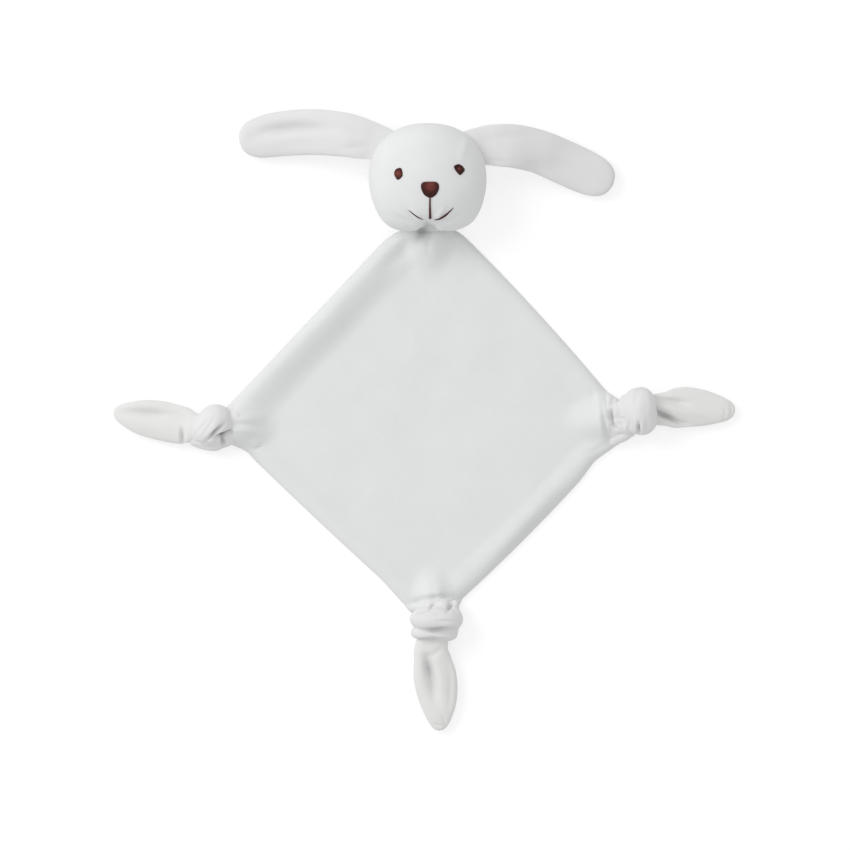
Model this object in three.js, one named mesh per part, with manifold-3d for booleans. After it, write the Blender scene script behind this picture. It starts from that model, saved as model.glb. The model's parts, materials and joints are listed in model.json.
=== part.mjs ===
// A knotted rabbit comforter in white velour. A stuffed head with two padded ears sits on a
// double blanket cut as a square, whose three free corners are each tied in an overhand knot.
// It lies on its back on a flat surface, face up. Millimetres, +Z up, +Y towards the head,
// and the origin is the middle of the blanket's underside. Left and right are the viewer's.
import * as THREE from "three";
import { mergeVertices } from "three/addons/utils/BufferGeometryUtils.js";
import Module from "manifold-3d";

const wasm = await Module();
wasm.setup();

// Cloth and clearance
const gap = 0.3; // between pieces that touch
const velour = 1.9; // one layer of velour with its pile
const openCut = 240; // how far a trimming box or cut reaches, past the whole comforter

// Blanket: what its middle is made of, and how its edge rolls
const blanket = {
  middleHeight: velour + gap / 2, // the plane between its two layers, where it lies flat
  rollWidth: 19, // from the edge to where the rolled border has run out
  rollLift: 1.9, // how far the border lifts off the table
  rollSwell: 0.9, // how much thicker each layer is in the border
  edgeRound: 5, // the width over which the border rounds off to its seam
  edgeShare: 0.42, // the thickness left at the seam, as a share of the border's
};

// Each corner of the blanket, in turn round it: where its gathers end, which way they point and
// how wide their end is. A long edge starts on either side, clockwise first, so far to the side
// and so far back, and the one that follows the corner bows out a little. The gathers stand up
// from the table, in a number of pleats, and run out over their reach.
const neckCorner = {
  x: -1.2,
  y: 100.6,
  heading: 90,
  endHalf: 14,
  spread: [17.7, 18.1],
  setback: [0.6, 0.6],
  bow: 0,
  topHeight: 13.8,
  footHeight: 0.6,
  reach: 25,
  pleats: 1,
  pleatDepth: 2.6,
};
const leftCorner = {
  x: -108.5,
  y: -5.5,
  heading: 180,
  endHalf: 10.2,
  spread: [13.8, 13.6],
  setback: [0.7, 7.4],
  bow: 0,
  topHeight: 13.1,
  footHeight: 0.5,
  reach: 25,
  pleats: 2,
  pleatDepth: 1.5,
};
const bottomCorner = {
  x: 2.5,
  y: -105,
  heading: -84,
  endHalf: 12.5,
  spread: [14.1, 14.8],
  setback: [0.3, 1.7],
  bow: 1.2,
  topHeight: 13.1,
  footHeight: 0.5,
  reach: 22,
  pleats: 3,
  pleatDepth: 1.4,
};
const rightCorner = {
  x: 98,
  y: -1.6,
  heading: 9,
  endHalf: 13,
  spread: [17.7, 18.2],
  setback: [1.3, 0.7],
  bow: 0.8,
  topHeight: 13.1,
  footHeight: 0.5,
  reach: 25,
  pleats: 2,
  pleatDepth: 1.8,
};
const corners = [neckCorner, leftCorner, bottomCorner, rightCorner];
const gathers = {
  crest: 0.12, // the share of their reach over which they keep their full height
  narrowing: 1.75, // they run out this much sooner to the sides than straight back
  fanning: 0.5, // how far a pleat moves to the side for each millimetre back
  fullness: 1.5, // above 1, the cloth stays flat for longer before it fills the gathers
};

// Head: half sizes, how far it settles on the table, and how full it is above and below
const head = {
  halfWidth: 32,
  halfHeight: 29.9,
  halfDepth: 22.5,
  settle: 1.3,
  crownFullness: 0.85,
  chinFullness: 0.5,
  depthFullness: 0.75,
};

// Neck: the gathered tuft of blanket ends in a ball, inside the pursed hem of the head cover
const neck = {
  rootHalf: 8, // half the width of the tuft where it leaves the blanket
  ballRadius: 7,
  ballReach: 5.4, // from the blanket's gathered end to the ball's middle
  ballHeight: 12,
  hemThickness: 2.9,
  hemSpan: 74, // degrees of the ball that the hem covers, from the head's side
};

// Ears: where they leave the head, which way they run and how they bend, and their outline
const leftEar = {
  rootAngle: 145.5,
  heading: 161,
  bend: 33,
  bendFrom: -0.1,
  bendTo: 1.05,
  length: 78.5,
  rootHalf: 9.8,
  fullHalf: 12.7,
};
const rightEar = {
  rootAngle: 33.5,
  heading: 1,
  bend: -22.5,
  bendFrom: 0.1,
  bendTo: 0.5,
  length: 78,
  rootHalf: 11,
  fullHalf: 12.1,
};
const ear = {
  hinge: 5, // from the head's seam to the line where the ear folds
  foldHalf: 0.9, // half the pinched thickness at that line
  baseHalf: 2.4, // half the thickness where the ear leaves the head
  fullThickness: 9.2,
  edgeHalf: 1.4, // half the thickness at the edge seam
  crossFlatness: 2.2, // how flat the padding is across the middle
  crossRoundness: 0.6, // how steeply it comes down to the edge seam
  fillLength: 15, // over which the ear swells from the fold
  fullAt: 0.45, // the share of the length by which it has its full width
  sagStart: 0.06, // the share of the length where it starts to come down from the head
  sagEnd: 0.72, // the share of the length by which it has come down to the table
  tipPower: 9, // how square the tip is, seen from above
  tipBlunt: 0.14, // the share of its width that is left at the very tip
  closePower: 7, // how late the padding thins towards the tip
};

// Knots: where the blanket's gathers enter and the tail leaves, and the turns of cloth between
const knotRootHalf = 8.5; // half the width where the gathers enter
const knotCoreHalf = 7; // half the bundle inside the turns
const knotFlatten = 0.86; // a knot lying on the table is this much lower than it is wide
const knotLean = 30; // degrees that it leans back over its root, so that it can fold up
const leftKnot = {
  corner: leftCorner,
  length: 22.6,
  exitSide: 1.4,
  turns: [
    { at: 4.8, side: 0.6, ring: 6.8, cord: 4.7, slant: -30 },
    { at: 12, side: 1.8, ring: 5.7, cord: 6.6, slant: -30 },
  ],
};
const bottomKnot = {
  corner: bottomCorner,
  length: 20.8,
  exitSide: -3.4,
  turns: [
    { at: 7.2, side: 0.6, ring: 7.2, cord: 6, slant: 4 },
    { at: 15.6, side: -1.9, ring: 8.2, cord: 3.9, slant: 4 },
  ],
};
const rightKnot = {
  corner: rightCorner,
  length: 27.6,
  exitSide: 0.4,
  turns: [
    { at: 5, side: 0.2, ring: 4.8, cord: 4.6, slant: 4 },
    { at: 16.6, side: 1.1, ring: 6.4, cord: 7, slant: -8 },
  ],
};

// Tails: the cloth that comes out of each knot, a flattened leaf with a crease along its middle
const tail = {
  rootTop: 10.6,
  rootHalfHeight: 4.4,
  leafHalfHeight: 3.5,
  turnLength: 9, // over which it turns from the knot's heading to its own
  creaseDepth: 1.6,
  creaseWidth: 0.4, // as a share of half the tail's width
  fullAt: 0.36, // the share of its length where it is widest
  tipPower: 1.8,
  tipBlunt: 0.14, // the share of its width that is left at the very tip
};
const leftTail = { knot: leftKnot, length: 43.5, rootHalf: 9.3, fullHalf: 10.6, heading: 167.5 };
const bottomTail = { knot: bottomKnot, length: 48, rootHalf: 9.4, fullHalf: 11.8, heading: -84 };
const rightTail = { knot: rightKnot, length: 42.5, rootHalf: 9, fullHalf: 11, heading: -0.5 };
const tails = [leftTail, bottomTail, rightTail];

// Embroidery on the face, placed from the middle of the head
const thread = { height: 0.9, lineRadius: 0.65 };
const leftEye = { x: -16.1, y: 2.4, halfWidth: 2.3, halfHeight: 3.3, turn: -14 };
const rightEye = { x: 17.4, y: 4.7, halfWidth: 2.8, halfHeight: 3.2, turn: 24 };
const nose = { x: 1.2, y: -6, halfWidth: 5.1, halfHeight: 4.3, topFullness: 4, foot: 2.1 };
const mouth = {
  lineFoot: -23,
  smileFoot: -23.4,
  smileBend: 6.8, // from the mouth line to where each half of the smile turns up
  smileReach: [11.2, 13.4],
  smileRise: [5.4, 6],
};

// The section of a patch of satin stitch: shares of its outline and of its height
const patchSection = [
  [0.05, 0],
  [0.6, 0],
  [1, 0],
  [0.96, 0.55],
  [0.62, 1],
  [0.05, 1.1],
];

// Numbers of facets, and where the rings lie
const acrossEnd = 8;
const alongEdge = 8;
const blanketRings = [0.02, 0.4, 0.66, 0.8, 0.88, 0.95, 1]; // from the blanket's middle to its edge
const aroundHead = 28;
const alongHead = 12;
const poleShare = 0.965; // how near the head's rings run to its two ends
const seamSteps = 40;
const ballTurns = [-20, 8, 30, 50, 68, 84]; // degrees from the waist of the neck's ball
const aroundNeck = 20;
const alongHem = 5;
const bendSteps = 24;
const alongEar = 10;
const alongTip = 3;
const tipStart = 0.9; // the share of an ear's length past which its rings lie closer
const acrossEar = 6;
const aroundCloth = 16; // round a tuft, a tail, an ear's base and the bundle in a knot
const aroundTurn = 18;
const aroundCord = 10;
const alongTail = 9;
const aroundPatch = 14;
const aroundLine = 6;
const alongLine = 7;

// Plain geometry

const radians = THREE.MathUtils.degToRad;
const mix = THREE.MathUtils.lerp;
const point = (x, y, z) => new THREE.Vector3(x, y, z);
const direction = (degrees) => point(Math.cos(radians(degrees)), Math.sin(radians(degrees)), 0);
const smooth = (t) => THREE.MathUtils.smoothstep(t, 0, 1);
const steps = (count, from = 0, to = 1) =>
  Array.from({ length: count + 1 }, (_, i) => mix(from, to, i / count));

// A solid from vertices and triangles, turned the right way out.
function solidFrom(position, index) {
  const build = (triangles) =>
    new wasm.Manifold(
      new wasm.Mesh({
        numProp: 3,
        vertProperties: new Float32Array(position),
        triVerts: new Uint32Array(triangles),
      }),
    );
  const solid = build(index);
  return solid.volume() > 0 ? solid : build([...index].reverse());
}

// A solid from one of three.js's own closed geometries.
function solidOf(geometry) {
  geometry.deleteAttribute("normal");
  geometry.deleteAttribute("uv");
  const merged = mergeVertices(geometry);
  return solidFrom(merged.attributes.position.array, Array.from(merged.index.array));
}

// A closed solid through rings of an even number of points. Each end is closed by a strip
// that joins the first point to the last, the second to the last but one, and so on.
function loft(rings) {
  const count = rings[0].length;
  const position = rings.flatMap((ring) => ring.flatMap((p) => p.toArray()));
  const index = [];
  for (let r = 0; r + 1 < rings.length; r++) {
    for (let k = 0; k < count; k++) {
      const a = r * count + k;
      const b = r * count + ((k + 1) % count);
      index.push(a, b, b + count, a, b + count, a + count);
    }
  }
  const lastRing = (rings.length - 1) * count;
  for (let k = 0; k + 1 < count / 2; k++) {
    const [a, b, c, d] = [k, k + 1, count - 2 - k, count - 1 - k];
    index.push(c, b, a, d, c, a);
    index.push(lastRing + a, lastRing + b, lastRing + c, lastRing + a, lastRing + c, lastRing + d);
  }
  return solidFrom(position, index);
}

// A box between two heights that reaches well past the part to every side.
function slab(low, high) {
  const box = new THREE.BoxGeometry(2 * openCut, 2 * openCut, high - low);
  box.translate(0, 0, (low + high) / 2);
  return solidOf(box);
}

// A tube of elliptical rings along a list of stations {at, side, up, halfSide, halfUp}.
function tube(stations, sides) {
  return loft(
    stations.map(({ at, side, up, halfSide, halfUp }) =>
      Array.from({ length: sides }, (_, k) => {
        const turn = (2 * Math.PI * (k + 0.5)) / sides;
        return at
          .clone()
          .addScaledVector(side, halfSide * Math.cos(turn))
          .addScaledVector(up, halfUp * Math.sin(turn));
      }),
    ),
  );
}

// Blanket

const up = point(0, 0, 1);

// A point at a corner, so far out along its heading and so far to its left.
function cornerPoint(corner, out, left, height = 0) {
  const along = direction(corner.heading);
  const side = direction(corner.heading + 90);
  return point(corner.x, corner.y, height).addScaledVector(along, out).addScaledVector(side, left);
}

const edges = corners.map((corner, i) => {
  const next = corners[(i + 1) % corners.length];
  return [
    cornerPoint(corner, -corner.setback[1], corner.spread[1]),
    cornerPoint(next, -next.setback[0], -next.spread[0]),
  ];
});

// The blanket's outline, counter-clockwise: each gathered end, then the long edge after it.
function blanketOutline() {
  const outline = [];
  corners.forEach((corner, i) => {
    for (const left of steps(acrossEnd, -corner.endHalf, corner.endHalf)) {
      outline.push(cornerPoint(corner, -gap / 2, left));
    }
    const [from, to] = edges[i];
    const outward = direction(corner.heading + 45);
    for (const t of steps(alongEdge)) {
      outline.push(from.clone().lerp(to, t).addScaledVector(outward, 4 * corner.bow * t * (1 - t)));
    }
  });
  return outline;
}

function distanceToEdge([from, to], here) {
  const nearest = new THREE.Line3(from, to).closestPointToPoint(here, true, new THREE.Vector3());
  return nearest.distanceTo(here);
}

// The height of the plane between the layers and the thickness of each layer at a point.
function blanketAt(x, y) {
  const here = point(x, y, 0);
  const toEdge = Math.min(...edges.map((edge) => distanceToEdge(edge, here)));
  const border = smooth(1 - toEdge / blanket.rollWidth);
  let middle = blanket.middleHeight + blanket.rollLift * border;
  let thick = velour + blanket.rollSwell * border;
  const rounding = Math.sqrt(Math.min(1, toEdge / blanket.edgeRound));
  thick *= mix(blanket.edgeShare, 1, rounding);
  for (const corner of corners) {
    const fromEnd = here.clone().sub(point(corner.x, corner.y, 0));
    const out = fromEnd.dot(direction(corner.heading));
    const left = fromEnd.dot(direction(corner.heading + 90));
    const fan = left / (corner.endHalf - gathers.fanning * out);
    const reached = Math.hypot(out, left * gathers.narrowing) / corner.reach;
    const share = smooth(1 + gathers.crest - reached);
    const pleat = Math.cos(Math.PI * corner.pleats * fan) ** 2;
    const top = corner.topHeight - corner.pleatDepth * pleat;
    const full = (corner.topHeight + corner.footHeight) / 2;
    middle = mix(middle, full, share);
    thick = mix(thick, top - full - gap / 2, share ** gathers.fullness);
  }
  return { middle: Math.max(middle, thick + gap / 2), thick };
}

// One layer of the blanket: side is 1 for the front layer and -1 for the back one.
function blanketLayer(side) {
  const outline = blanketOutline();
  const ring = (share, from) =>
    outline.map((p) => {
      const [x, y] = [p.x * share, p.y * share];
      const { middle, thick } = blanketAt(x, y);
      return point(x, y, middle + side * (gap / 2 + from * thick));
    });
  return loft([
    ...blanketRings.map((share) => ring(share, 0)),
    ...blanketRings.toReversed().map((share) => ring(share, 1)),
  ]);
}

// Head

const seamHeight = head.halfDepth - head.settle;
const headMiddle = point(neckCorner.x, neckCorner.y + head.halfHeight, seamHeight);

// The head's half width and half depth at a height up the face, from -1 at the chin to 1.
function headSection(rise, inset) {
  const round = Math.sqrt(Math.max(0, 1 - rise * rise));
  const fullness = mix(head.chinFullness, head.crownFullness, smooth((rise + 1) / 2));
  return {
    half: (head.halfWidth - inset) * round ** fullness,
    deep: (head.halfDepth - inset) * round ** head.depthFullness,
  };
}

// The whole head form, drawn in by an inset, and flat where it lies on the table.
function headForm(inset) {
  const rings = steps(alongHead, -poleShare, poleShare).map((t) => {
    const rise = Math.sin((t * Math.PI) / 2);
    const { half, deep } = headSection(rise, inset);
    return Array.from({ length: aroundHead }, (_, k) => {
      const turn = (2 * Math.PI * (k + 0.5)) / aroundHead;
      const height = headMiddle.z + deep * Math.sin(turn);
      return point(
        headMiddle.x + half * Math.cos(turn),
        headMiddle.y + (head.halfHeight - inset) * rise,
        Math.max(height, inset),
      );
    });
  });
  return loft(rings);
}

// The point on the face, so far from the head's middle, raised off the velour.
function onFace(x, y, raise) {
  const { half, deep } = headSection(y / head.halfHeight, 0);
  const bulge = Math.sqrt(Math.max(0, 1 - (x / half) ** 2));
  return point(headMiddle.x + x, headMiddle.y + y, headMiddle.z + deep * bulge + raise);
}

// How far the head's side seam lies from its middle in a direction.
function seamRadius(degrees) {
  const way = direction(degrees);
  const toPole = (poleShare * head.halfHeight) / Math.abs(way.y);
  let reach = 0;
  for (let i = 0; i < seamSteps; i++) {
    const { half } = headSection((reach * way.y) / head.halfHeight, 0);
    const across = half / Math.abs(way.x);
    reach = (reach + Math.min(across, toPole)) / 2;
  }
  return reach;
}

// Neck

const ballMiddle = point(neckCorner.x, neckCorner.y + neck.ballReach, neck.ballHeight);
const hemInner = neck.ballRadius + gap;
const hemOuter = hemInner + neck.hemThickness;
const neckOpening = hemOuter + gap;

// The gathered tuft: an oval face against the blanket, swelling into the ball.
function neckTuft() {
  const face = neckCorner.y + gap / 2;
  const low = (neckCorner.topHeight + neckCorner.footHeight) / 2;
  const station = (y, height, halfSide, halfUp) => ({
    at: point(ballMiddle.x, y, height),
    side: point(1, 0, 0),
    up,
    halfSide,
    halfUp,
  });
  const stations = [station(face, low, neck.rootHalf, neckCorner.topHeight - low)];
  for (const turn of ballTurns.map(radians)) {
    const reach = neck.ballRadius * Math.cos(turn);
    const y = ballMiddle.y + neck.ballRadius * Math.sin(turn);
    stations.push(station(y, ballMiddle.z, reach, reach));
  }
  return tube(stations, aroundCloth);
}

// The pursed hem of the head cover: a cup round the ball, open towards the blanket.
function neckHem() {
  const span = radians(neck.hemSpan);
  const arc = (radius, from, to) =>
    steps(alongHem, from, to).map(
      (turn) => new THREE.Vector2(radius * Math.sin(turn), radius * Math.cos(turn)),
    );
  const cup = new THREE.LatheGeometry([...arc(hemInner, 0, span), ...arc(hemOuter, span, 0)], aroundNeck);
  return solidOf(cup).translate(ballMiddle.toArray());
}

// The hollow in the head for the neck: a ball, and a round way out towards the blanket.
function neckHollow() {
  const ball = new THREE.SphereGeometry(neckOpening, aroundNeck, aroundNeck / 2);
  const way = new THREE.CylinderGeometry(neckOpening, neckOpening, openCut, aroundNeck);
  way.translate(0, -openCut / 2, 0);
  return solidOf(ball).add(solidOf(way)).translate(ballMiddle.toArray());
}

// Ears

// The middle line of an ear: where it is and which way it runs, so far from the head's seam.
function earStation(shape, distance) {
  const root = direction(shape.rootAngle).multiplyScalar(seamRadius(shape.rootAngle));
  const at = headMiddle.clone().add(root);
  const share = distance / shape.length;
  for (let i = 0; i < bendSteps; i++) {
    at.addScaledVector(earHeading(shape, (share * (i + 0.5)) / bendSteps), distance / bendSteps);
  }
  at.z = earLevel(share);
  const along = earHeading(shape, share);
  const before = share - 1 / bendSteps;
  along.z = (earLevel(share) - earLevel(before)) / ((share - before) * shape.length);
  const square = up.clone().cross(along).normalize();
  const seamSide = direction(shape.rootAngle + 90);
  const side = seamSide.lerp(square, smooth((distance - ear.hinge) / ear.fillLength)).normalize();
  return { at, side, up: along.cross(side).normalize() };
}

// The height of an ear's middle: it comes down from the head's seam until it lies on the table.
function earLevel(share) {
  const rest = ear.fullThickness / 2 + gap;
  return mix(seamHeight, rest, smooth((share - ear.sagStart) / (ear.sagEnd - ear.sagStart)));
}

// The way that an ear runs, at a share of its length.
function earHeading(shape, share) {
  const bent = smooth((share - shape.bendFrom) / (shape.bendTo - shape.bendFrom));
  return direction(shape.heading + shape.bend * bent);
}

// Half the ear's width, so far along it.
function earHalf(shape, share) {
  const body = mix(shape.rootHalf, shape.fullHalf, smooth(share / ear.fullAt));
  return body * Math.max(ear.tipBlunt, Math.sqrt(1 - share ** ear.tipPower));
}

// Half the ear's thickness at its middle, so far from the fold line.
function earSwell(shape, distance) {
  const fill = smooth((distance - ear.hinge) / ear.fillLength);
  const close = Math.sqrt(1 - (distance / shape.length) ** ear.closePower);
  return Math.max(mix(ear.foldHalf, (ear.fullThickness / 2) * close, fill), ear.foldHalf);
}

// Half the ear's thickness, so far along it and at a share of the way out to its edge.
function earHeight(shape, distance, share) {
  const swell = earSwell(shape, distance);
  const edge = Math.min(ear.edgeHalf, swell);
  const round = (1 - Math.abs(share) ** ear.crossFlatness) ** ear.crossRoundness;
  return edge + (swell - edge) * round;
}

// How far the inside of either panel lies from the ear's middle plane.
function earInside(shape, distance, share) {
  return Math.max(earHeight(shape, distance, share) - velour, gap / 2);
}

const foldLead = ear.foldHalf / 2; // the panels start this far before the line that they fold on
const foldReach = Math.hypot(ear.foldHalf, foldLead); // how far their ends reach from that line
const earShares = steps(acrossEar, -90, 90).map((turn) => Math.sin(radians(turn)));
const earDistances = (shape) => [
  ...steps(alongEar, ear.hinge - foldLead, shape.length * tipStart),
  ...steps(alongTip, shape.length * tipStart, shape.length).slice(1),
];

// A ring across the ear at the given shares of its width, between an upper and a lower height.
function earRing(shape, distance, shares, upper, lower) {
  const { at, side, up: over } = earStation(shape, distance);
  const half = earHalf(shape, distance / shape.length);
  const place = (share, height) =>
    at
      .clone()
      .addScaledVector(side, share * half)
      .addScaledVector(over, height);
  return [
    ...shares.map((share) => place(share, upper(share))),
    ...shares.toReversed().map((share) => place(share, lower(share))),
  ];
}

// The front panel of an ear for side 1, and the back one for side -1.
function earPanel(shape, side) {
  return loft(
    earDistances(shape).map((d) =>
      earRing(
        shape,
        d,
        earShares,
        (share) => side * earHeight(shape, d, share),
        (share) => side * earInside(shape, d, share),
      ),
    ),
  );
}

// The thin wadding between the two panels, clear of both.
function earWadding(shape) {
  const distances = earDistances(shape).slice(2, alongEar + 1);
  return loft(
    distances.map((d) => {
      const room = (share) => Math.max(earInside(shape, d, share) - 1.5 * gap, gap / 4);
      return earRing(shape, d, earShares.slice(1, -1), room, (share) => -room(share));
    }),
  );
}

// The ear's base, caught in the head's side seam, as far as the line where the ear folds. That
// line is square to the seam, so the clearance to it is longer along an ear that leaves aslant.
function earBase(shape) {
  const clearance = (foldReach + gap) / Math.cos(radians(shape.heading - shape.rootAngle));
  const station = (distance, halfUp) => {
    const { at, side, up: over } = earStation(shape, distance);
    return { at, side, up: over, halfSide: earHalf(shape, distance / shape.length), halfUp };
  };
  const stations = [
    station(-ear.hinge, ear.baseHalf),
    station(gap, ear.baseHalf),
    station(ear.hinge - clearance, ear.foldHalf),
  ];
  return tube(stations, aroundCloth).subtract(headForm(-gap));
}

// Knots and tails

// The height of a knot's middle when its widest turn lies on the table.
function knotMiddle(knot) {
  return knotFlatten * Math.max(...knot.turns.map((turn) => turn.ring + turn.cord));
}

// The room for a knot, seen from its side: above the table, between its two ends, and leaning
// back above the line on which it folds up over the blanket.
function knotRoom(knot) {
  const fold = knot.corner.topHeight;
  const top = Math.max(fold, 2 * knotMiddle(knot)) + gap;
  const profile = new THREE.Shape()
    .moveTo(gap / 2, 0)
    .lineTo(knot.length - gap / 2, 0)
    .lineTo(knot.length - gap / 2, top)
    .lineTo(gap / 2 + (top - fold) * Math.tan(radians(knotLean)), top)
    .lineTo(gap / 2, fold);
  const room = new THREE.ExtrudeGeometry(profile, { depth: 2 * openCut, bevelEnabled: false });
  room.translate(0, 0, -openCut);
  room.rotateX(Math.PI / 2);
  room.rotateZ(radians(knot.corner.heading));
  room.translate(knot.corner.x, knot.corner.y, 0);
  return solidOf(room);
}

function knotSolid(knot) {
  const { corner } = knot;
  const side = direction(corner.heading + 90);
  const rootMiddle = (corner.topHeight + corner.footHeight) / 2;
  const middle = knotMiddle(knot);
  const exitMiddle = tail.rootTop - tail.rootHalfHeight;
  const exitHalf = tails.find((shape) => shape.knot === knot).rootHalf;
  const core = (out, left, height, halfSide, halfUp) => ({
    at: cornerPoint(corner, out, left, height),
    side,
    up,
    halfSide,
    halfUp,
  });
  let solid = tube(
    [
      core(0, 0, rootMiddle, knotRootHalf, corner.topHeight - rootMiddle),
      ...knot.turns.map((turn) => core(turn.at, turn.side, middle, knotCoreHalf, knotCoreHalf)),
      core(knot.length, knot.exitSide, exitMiddle, exitHalf, tail.rootHalfHeight),
    ],
    aroundCloth,
  );
  for (const turn of knot.turns) {
    const across = direction(corner.heading + 90 + turn.slant);
    const through = direction(corner.heading + turn.slant);
    const flattened = up.clone().multiplyScalar(knotFlatten);
    const wrap = new THREE.TorusGeometry(turn.ring, turn.cord, aroundCord, aroundTurn);
    wrap.applyMatrix4(new THREE.Matrix4().makeBasis(across, flattened, through));
    const place = cornerPoint(corner, turn.at, turn.side, middle);
    solid = solid.add(solidOf(wrap).translate(place.toArray()));
  }
  return solid.intersect(knotRoom(knot));
}

// Where a tail leaves its knot, on the table under the fold line.
function tailRoot(shape) {
  const { corner, length, exitSide } = shape.knot;
  return cornerPoint(corner, length, exitSide);
}

// A tail: a leaf that comes out of the knot, widens, and narrows to a blunt end.
function tailSolid(shape) {
  const { heading } = shape.knot.corner;
  const turn = THREE.MathUtils.euclideanModulo(shape.heading - heading + 180, 360) - 180;
  const at = tailRoot(shape);
  let before = 0;
  const rings = steps(alongTail).map((t) => {
    const far = Math.max(gap / 2, shape.length * Math.sin((t * Math.PI) / 2));
    const share = far / shape.length;
    const along = direction(heading + turn * smooth(far / tail.turnLength));
    at.addScaledVector(along, far - before);
    before = far;
    const side = up.clone().cross(along);
    const pastFull = Math.max(0, (share - tail.fullAt) / (1 - tail.fullAt));
    const narrow = Math.max(tail.tipBlunt, Math.sqrt(1 - pastFull ** tail.tipPower));
    const half = mix(shape.rootHalf, shape.fullHalf, smooth(share / tail.fullAt)) * narrow;
    const flat = smooth(share / tail.fullAt);
    const halfHeight = mix(tail.rootHalfHeight, tail.leafHalfHeight, flat) * Math.sqrt(narrow);
    const height = mix(tail.rootTop - tail.rootHalfHeight, tail.leafHalfHeight + gap, flat);
    const crease = tail.creaseDepth * flat * narrow;
    return Array.from({ length: aroundCloth }, (_, k) => {
      const angle = (2 * Math.PI * (k + 0.5)) / aroundCloth;
      const left = Math.cos(angle);
      const over = halfHeight * Math.sin(angle);
      const drawnIn = over > 0 ? crease * Math.exp(-((left / tail.creaseWidth) ** 2)) : 0;
      return at.clone().setZ(height + over - drawnIn).addScaledVector(side, half * left);
    });
  });
  return loft(rings);
}

// Embroidery

// A domed patch of satin stitch on the face with the outline (x, y) = outline(turn).
function stitchPatch({ x, y }, outline) {
  const ring = ([size, raise]) =>
    Array.from({ length: aroundPatch }, (_, k) => {
      const [dx, dy] = outline((2 * Math.PI * (k + 0.5)) / aroundPatch);
      return onFace(x + dx * size, y + dy * size, gap + thread.height * raise);
    });
  return loft(patchSection.map(ring));
}

// An eye: an upright oval, turned a little.
function eyePatch(eye) {
  const middle = new THREE.Vector2();
  return stitchPatch(eye, (turn) =>
    new THREE.Vector2(eye.halfWidth * Math.cos(turn), eye.halfHeight * Math.sin(turn))
      .rotateAround(middle, radians(eye.turn))
      .toArray(),
  );
}

// The nose: nearly straight across the top, and rounded to a narrow foot.
function nosePatch() {
  return stitchPatch(nose, (turn) => {
    const power = 2 / (Math.sin(turn) > 0 ? nose.topFullness : nose.foot);
    const round = (v) => Math.sign(v) * Math.abs(v) ** power;
    return [nose.halfWidth * round(Math.cos(turn)), nose.halfHeight * round(Math.sin(turn))];
  });
}

// A stitched line along a curve of face points (x, y).
function stitchLine(curve) {
  const radius = thread.lineRadius;
  const stations = steps(alongLine).map((t) => {
    const { x, y } = curve.getPoint(t);
    const along = curve.getTangent(t);
    const side = point(-along.y, along.x, 0);
    return { at: onFace(x, y, gap + radius), side, up, halfSide: radius, halfUp: radius };
  });
  return tube(stations, aroundLine);
}

function mouthLine() {
  const top = nose.y - nose.halfHeight - gap;
  const from = new THREE.Vector2(nose.x, top);
  return stitchLine(new THREE.LineCurve(from, new THREE.Vector2(nose.x, mouth.lineFoot)));
}

// One half of the smile: way is -1 for the left half and 1 for the right half.
function smile(way) {
  const i = way > 0 ? 1 : 0;
  const at = (out, rise) => new THREE.Vector2(nose.x + way * out, mouth.smileFoot + rise);
  const start = at(2 * thread.lineRadius + gap, 0);
  const bend = at(mouth.smileBend, 0);
  const end = at(mouth.smileReach[i], mouth.smileRise[i]);
  return stitchLine(new THREE.QuadraticBezierCurve(start, bend, end));
}

// Assembly

const whiteVelour = new THREE.MeshStandardMaterial({ color: 0xe4e6e5, roughness: 0.95, metalness: 0 });
const whiteFilling = new THREE.MeshStandardMaterial({ color: 0xf2f2f0, roughness: 1, metalness: 0 });
const brownThread = new THREE.MeshStandardMaterial({ color: 0x6b2a24, roughness: 0.55, metalness: 0 });

function mesh(name, solid, material) {
  const { vertProperties, triVerts, numProp } = solid.getMesh();
  const geometry = new THREE.BufferGeometry();
  const buffer = new THREE.InterleavedBuffer(vertProperties, numProp);
  geometry.setAttribute("position", new THREE.InterleavedBufferAttribute(buffer, 3, 0));
  geometry.setIndex(new THREE.BufferAttribute(triVerts, 1));
  const made = new THREE.Mesh(mergeVertices(geometry.toNonIndexed()), material);
  made.geometry.computeVertexNormals();
  made.name = name;
  return made;
}

const hollow = neckHollow();
const headCover = headForm(0).subtract(headForm(velour)).subtract(hollow);
const comforter = new THREE.Group();
comforter.add(
  mesh("blanket_front", blanketLayer(1), whiteVelour),
  mesh("blanket_back", blanketLayer(-1), whiteVelour),
  mesh("neck_gather", neckTuft(), whiteVelour),
  mesh("neck_hem", neckHem(), whiteVelour),
  mesh("head_front", headCover.intersect(slab(seamHeight + gap / 2, openCut)), whiteVelour),
  mesh("head_back", headCover.intersect(slab(-gap, seamHeight - gap / 2)), whiteVelour),
  mesh("head_filling", headForm(velour + gap).subtract(hollow), whiteFilling),
  mesh("left_eye", eyePatch(leftEye), brownThread),
  mesh("right_eye", eyePatch(rightEye), brownThread),
  mesh("nose", nosePatch(), brownThread),
  mesh("mouth_line", mouthLine(), brownThread),
  mesh("smile_left", smile(-1), brownThread),
  mesh("smile_right", smile(1), brownThread),
);
for (const [name, shape] of [["left", leftEar], ["right", rightEar]]) {
  comforter.add(
    mesh(`${name}_ear_base`, earBase(shape), whiteVelour),
    mesh(`${name}_ear_front`, earPanel(shape, 1), whiteVelour),
    mesh(`${name}_ear_back`, earPanel(shape, -1), whiteVelour),
    mesh(`${name}_ear_wadding`, earWadding(shape), whiteFilling),
  );
}
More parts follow.
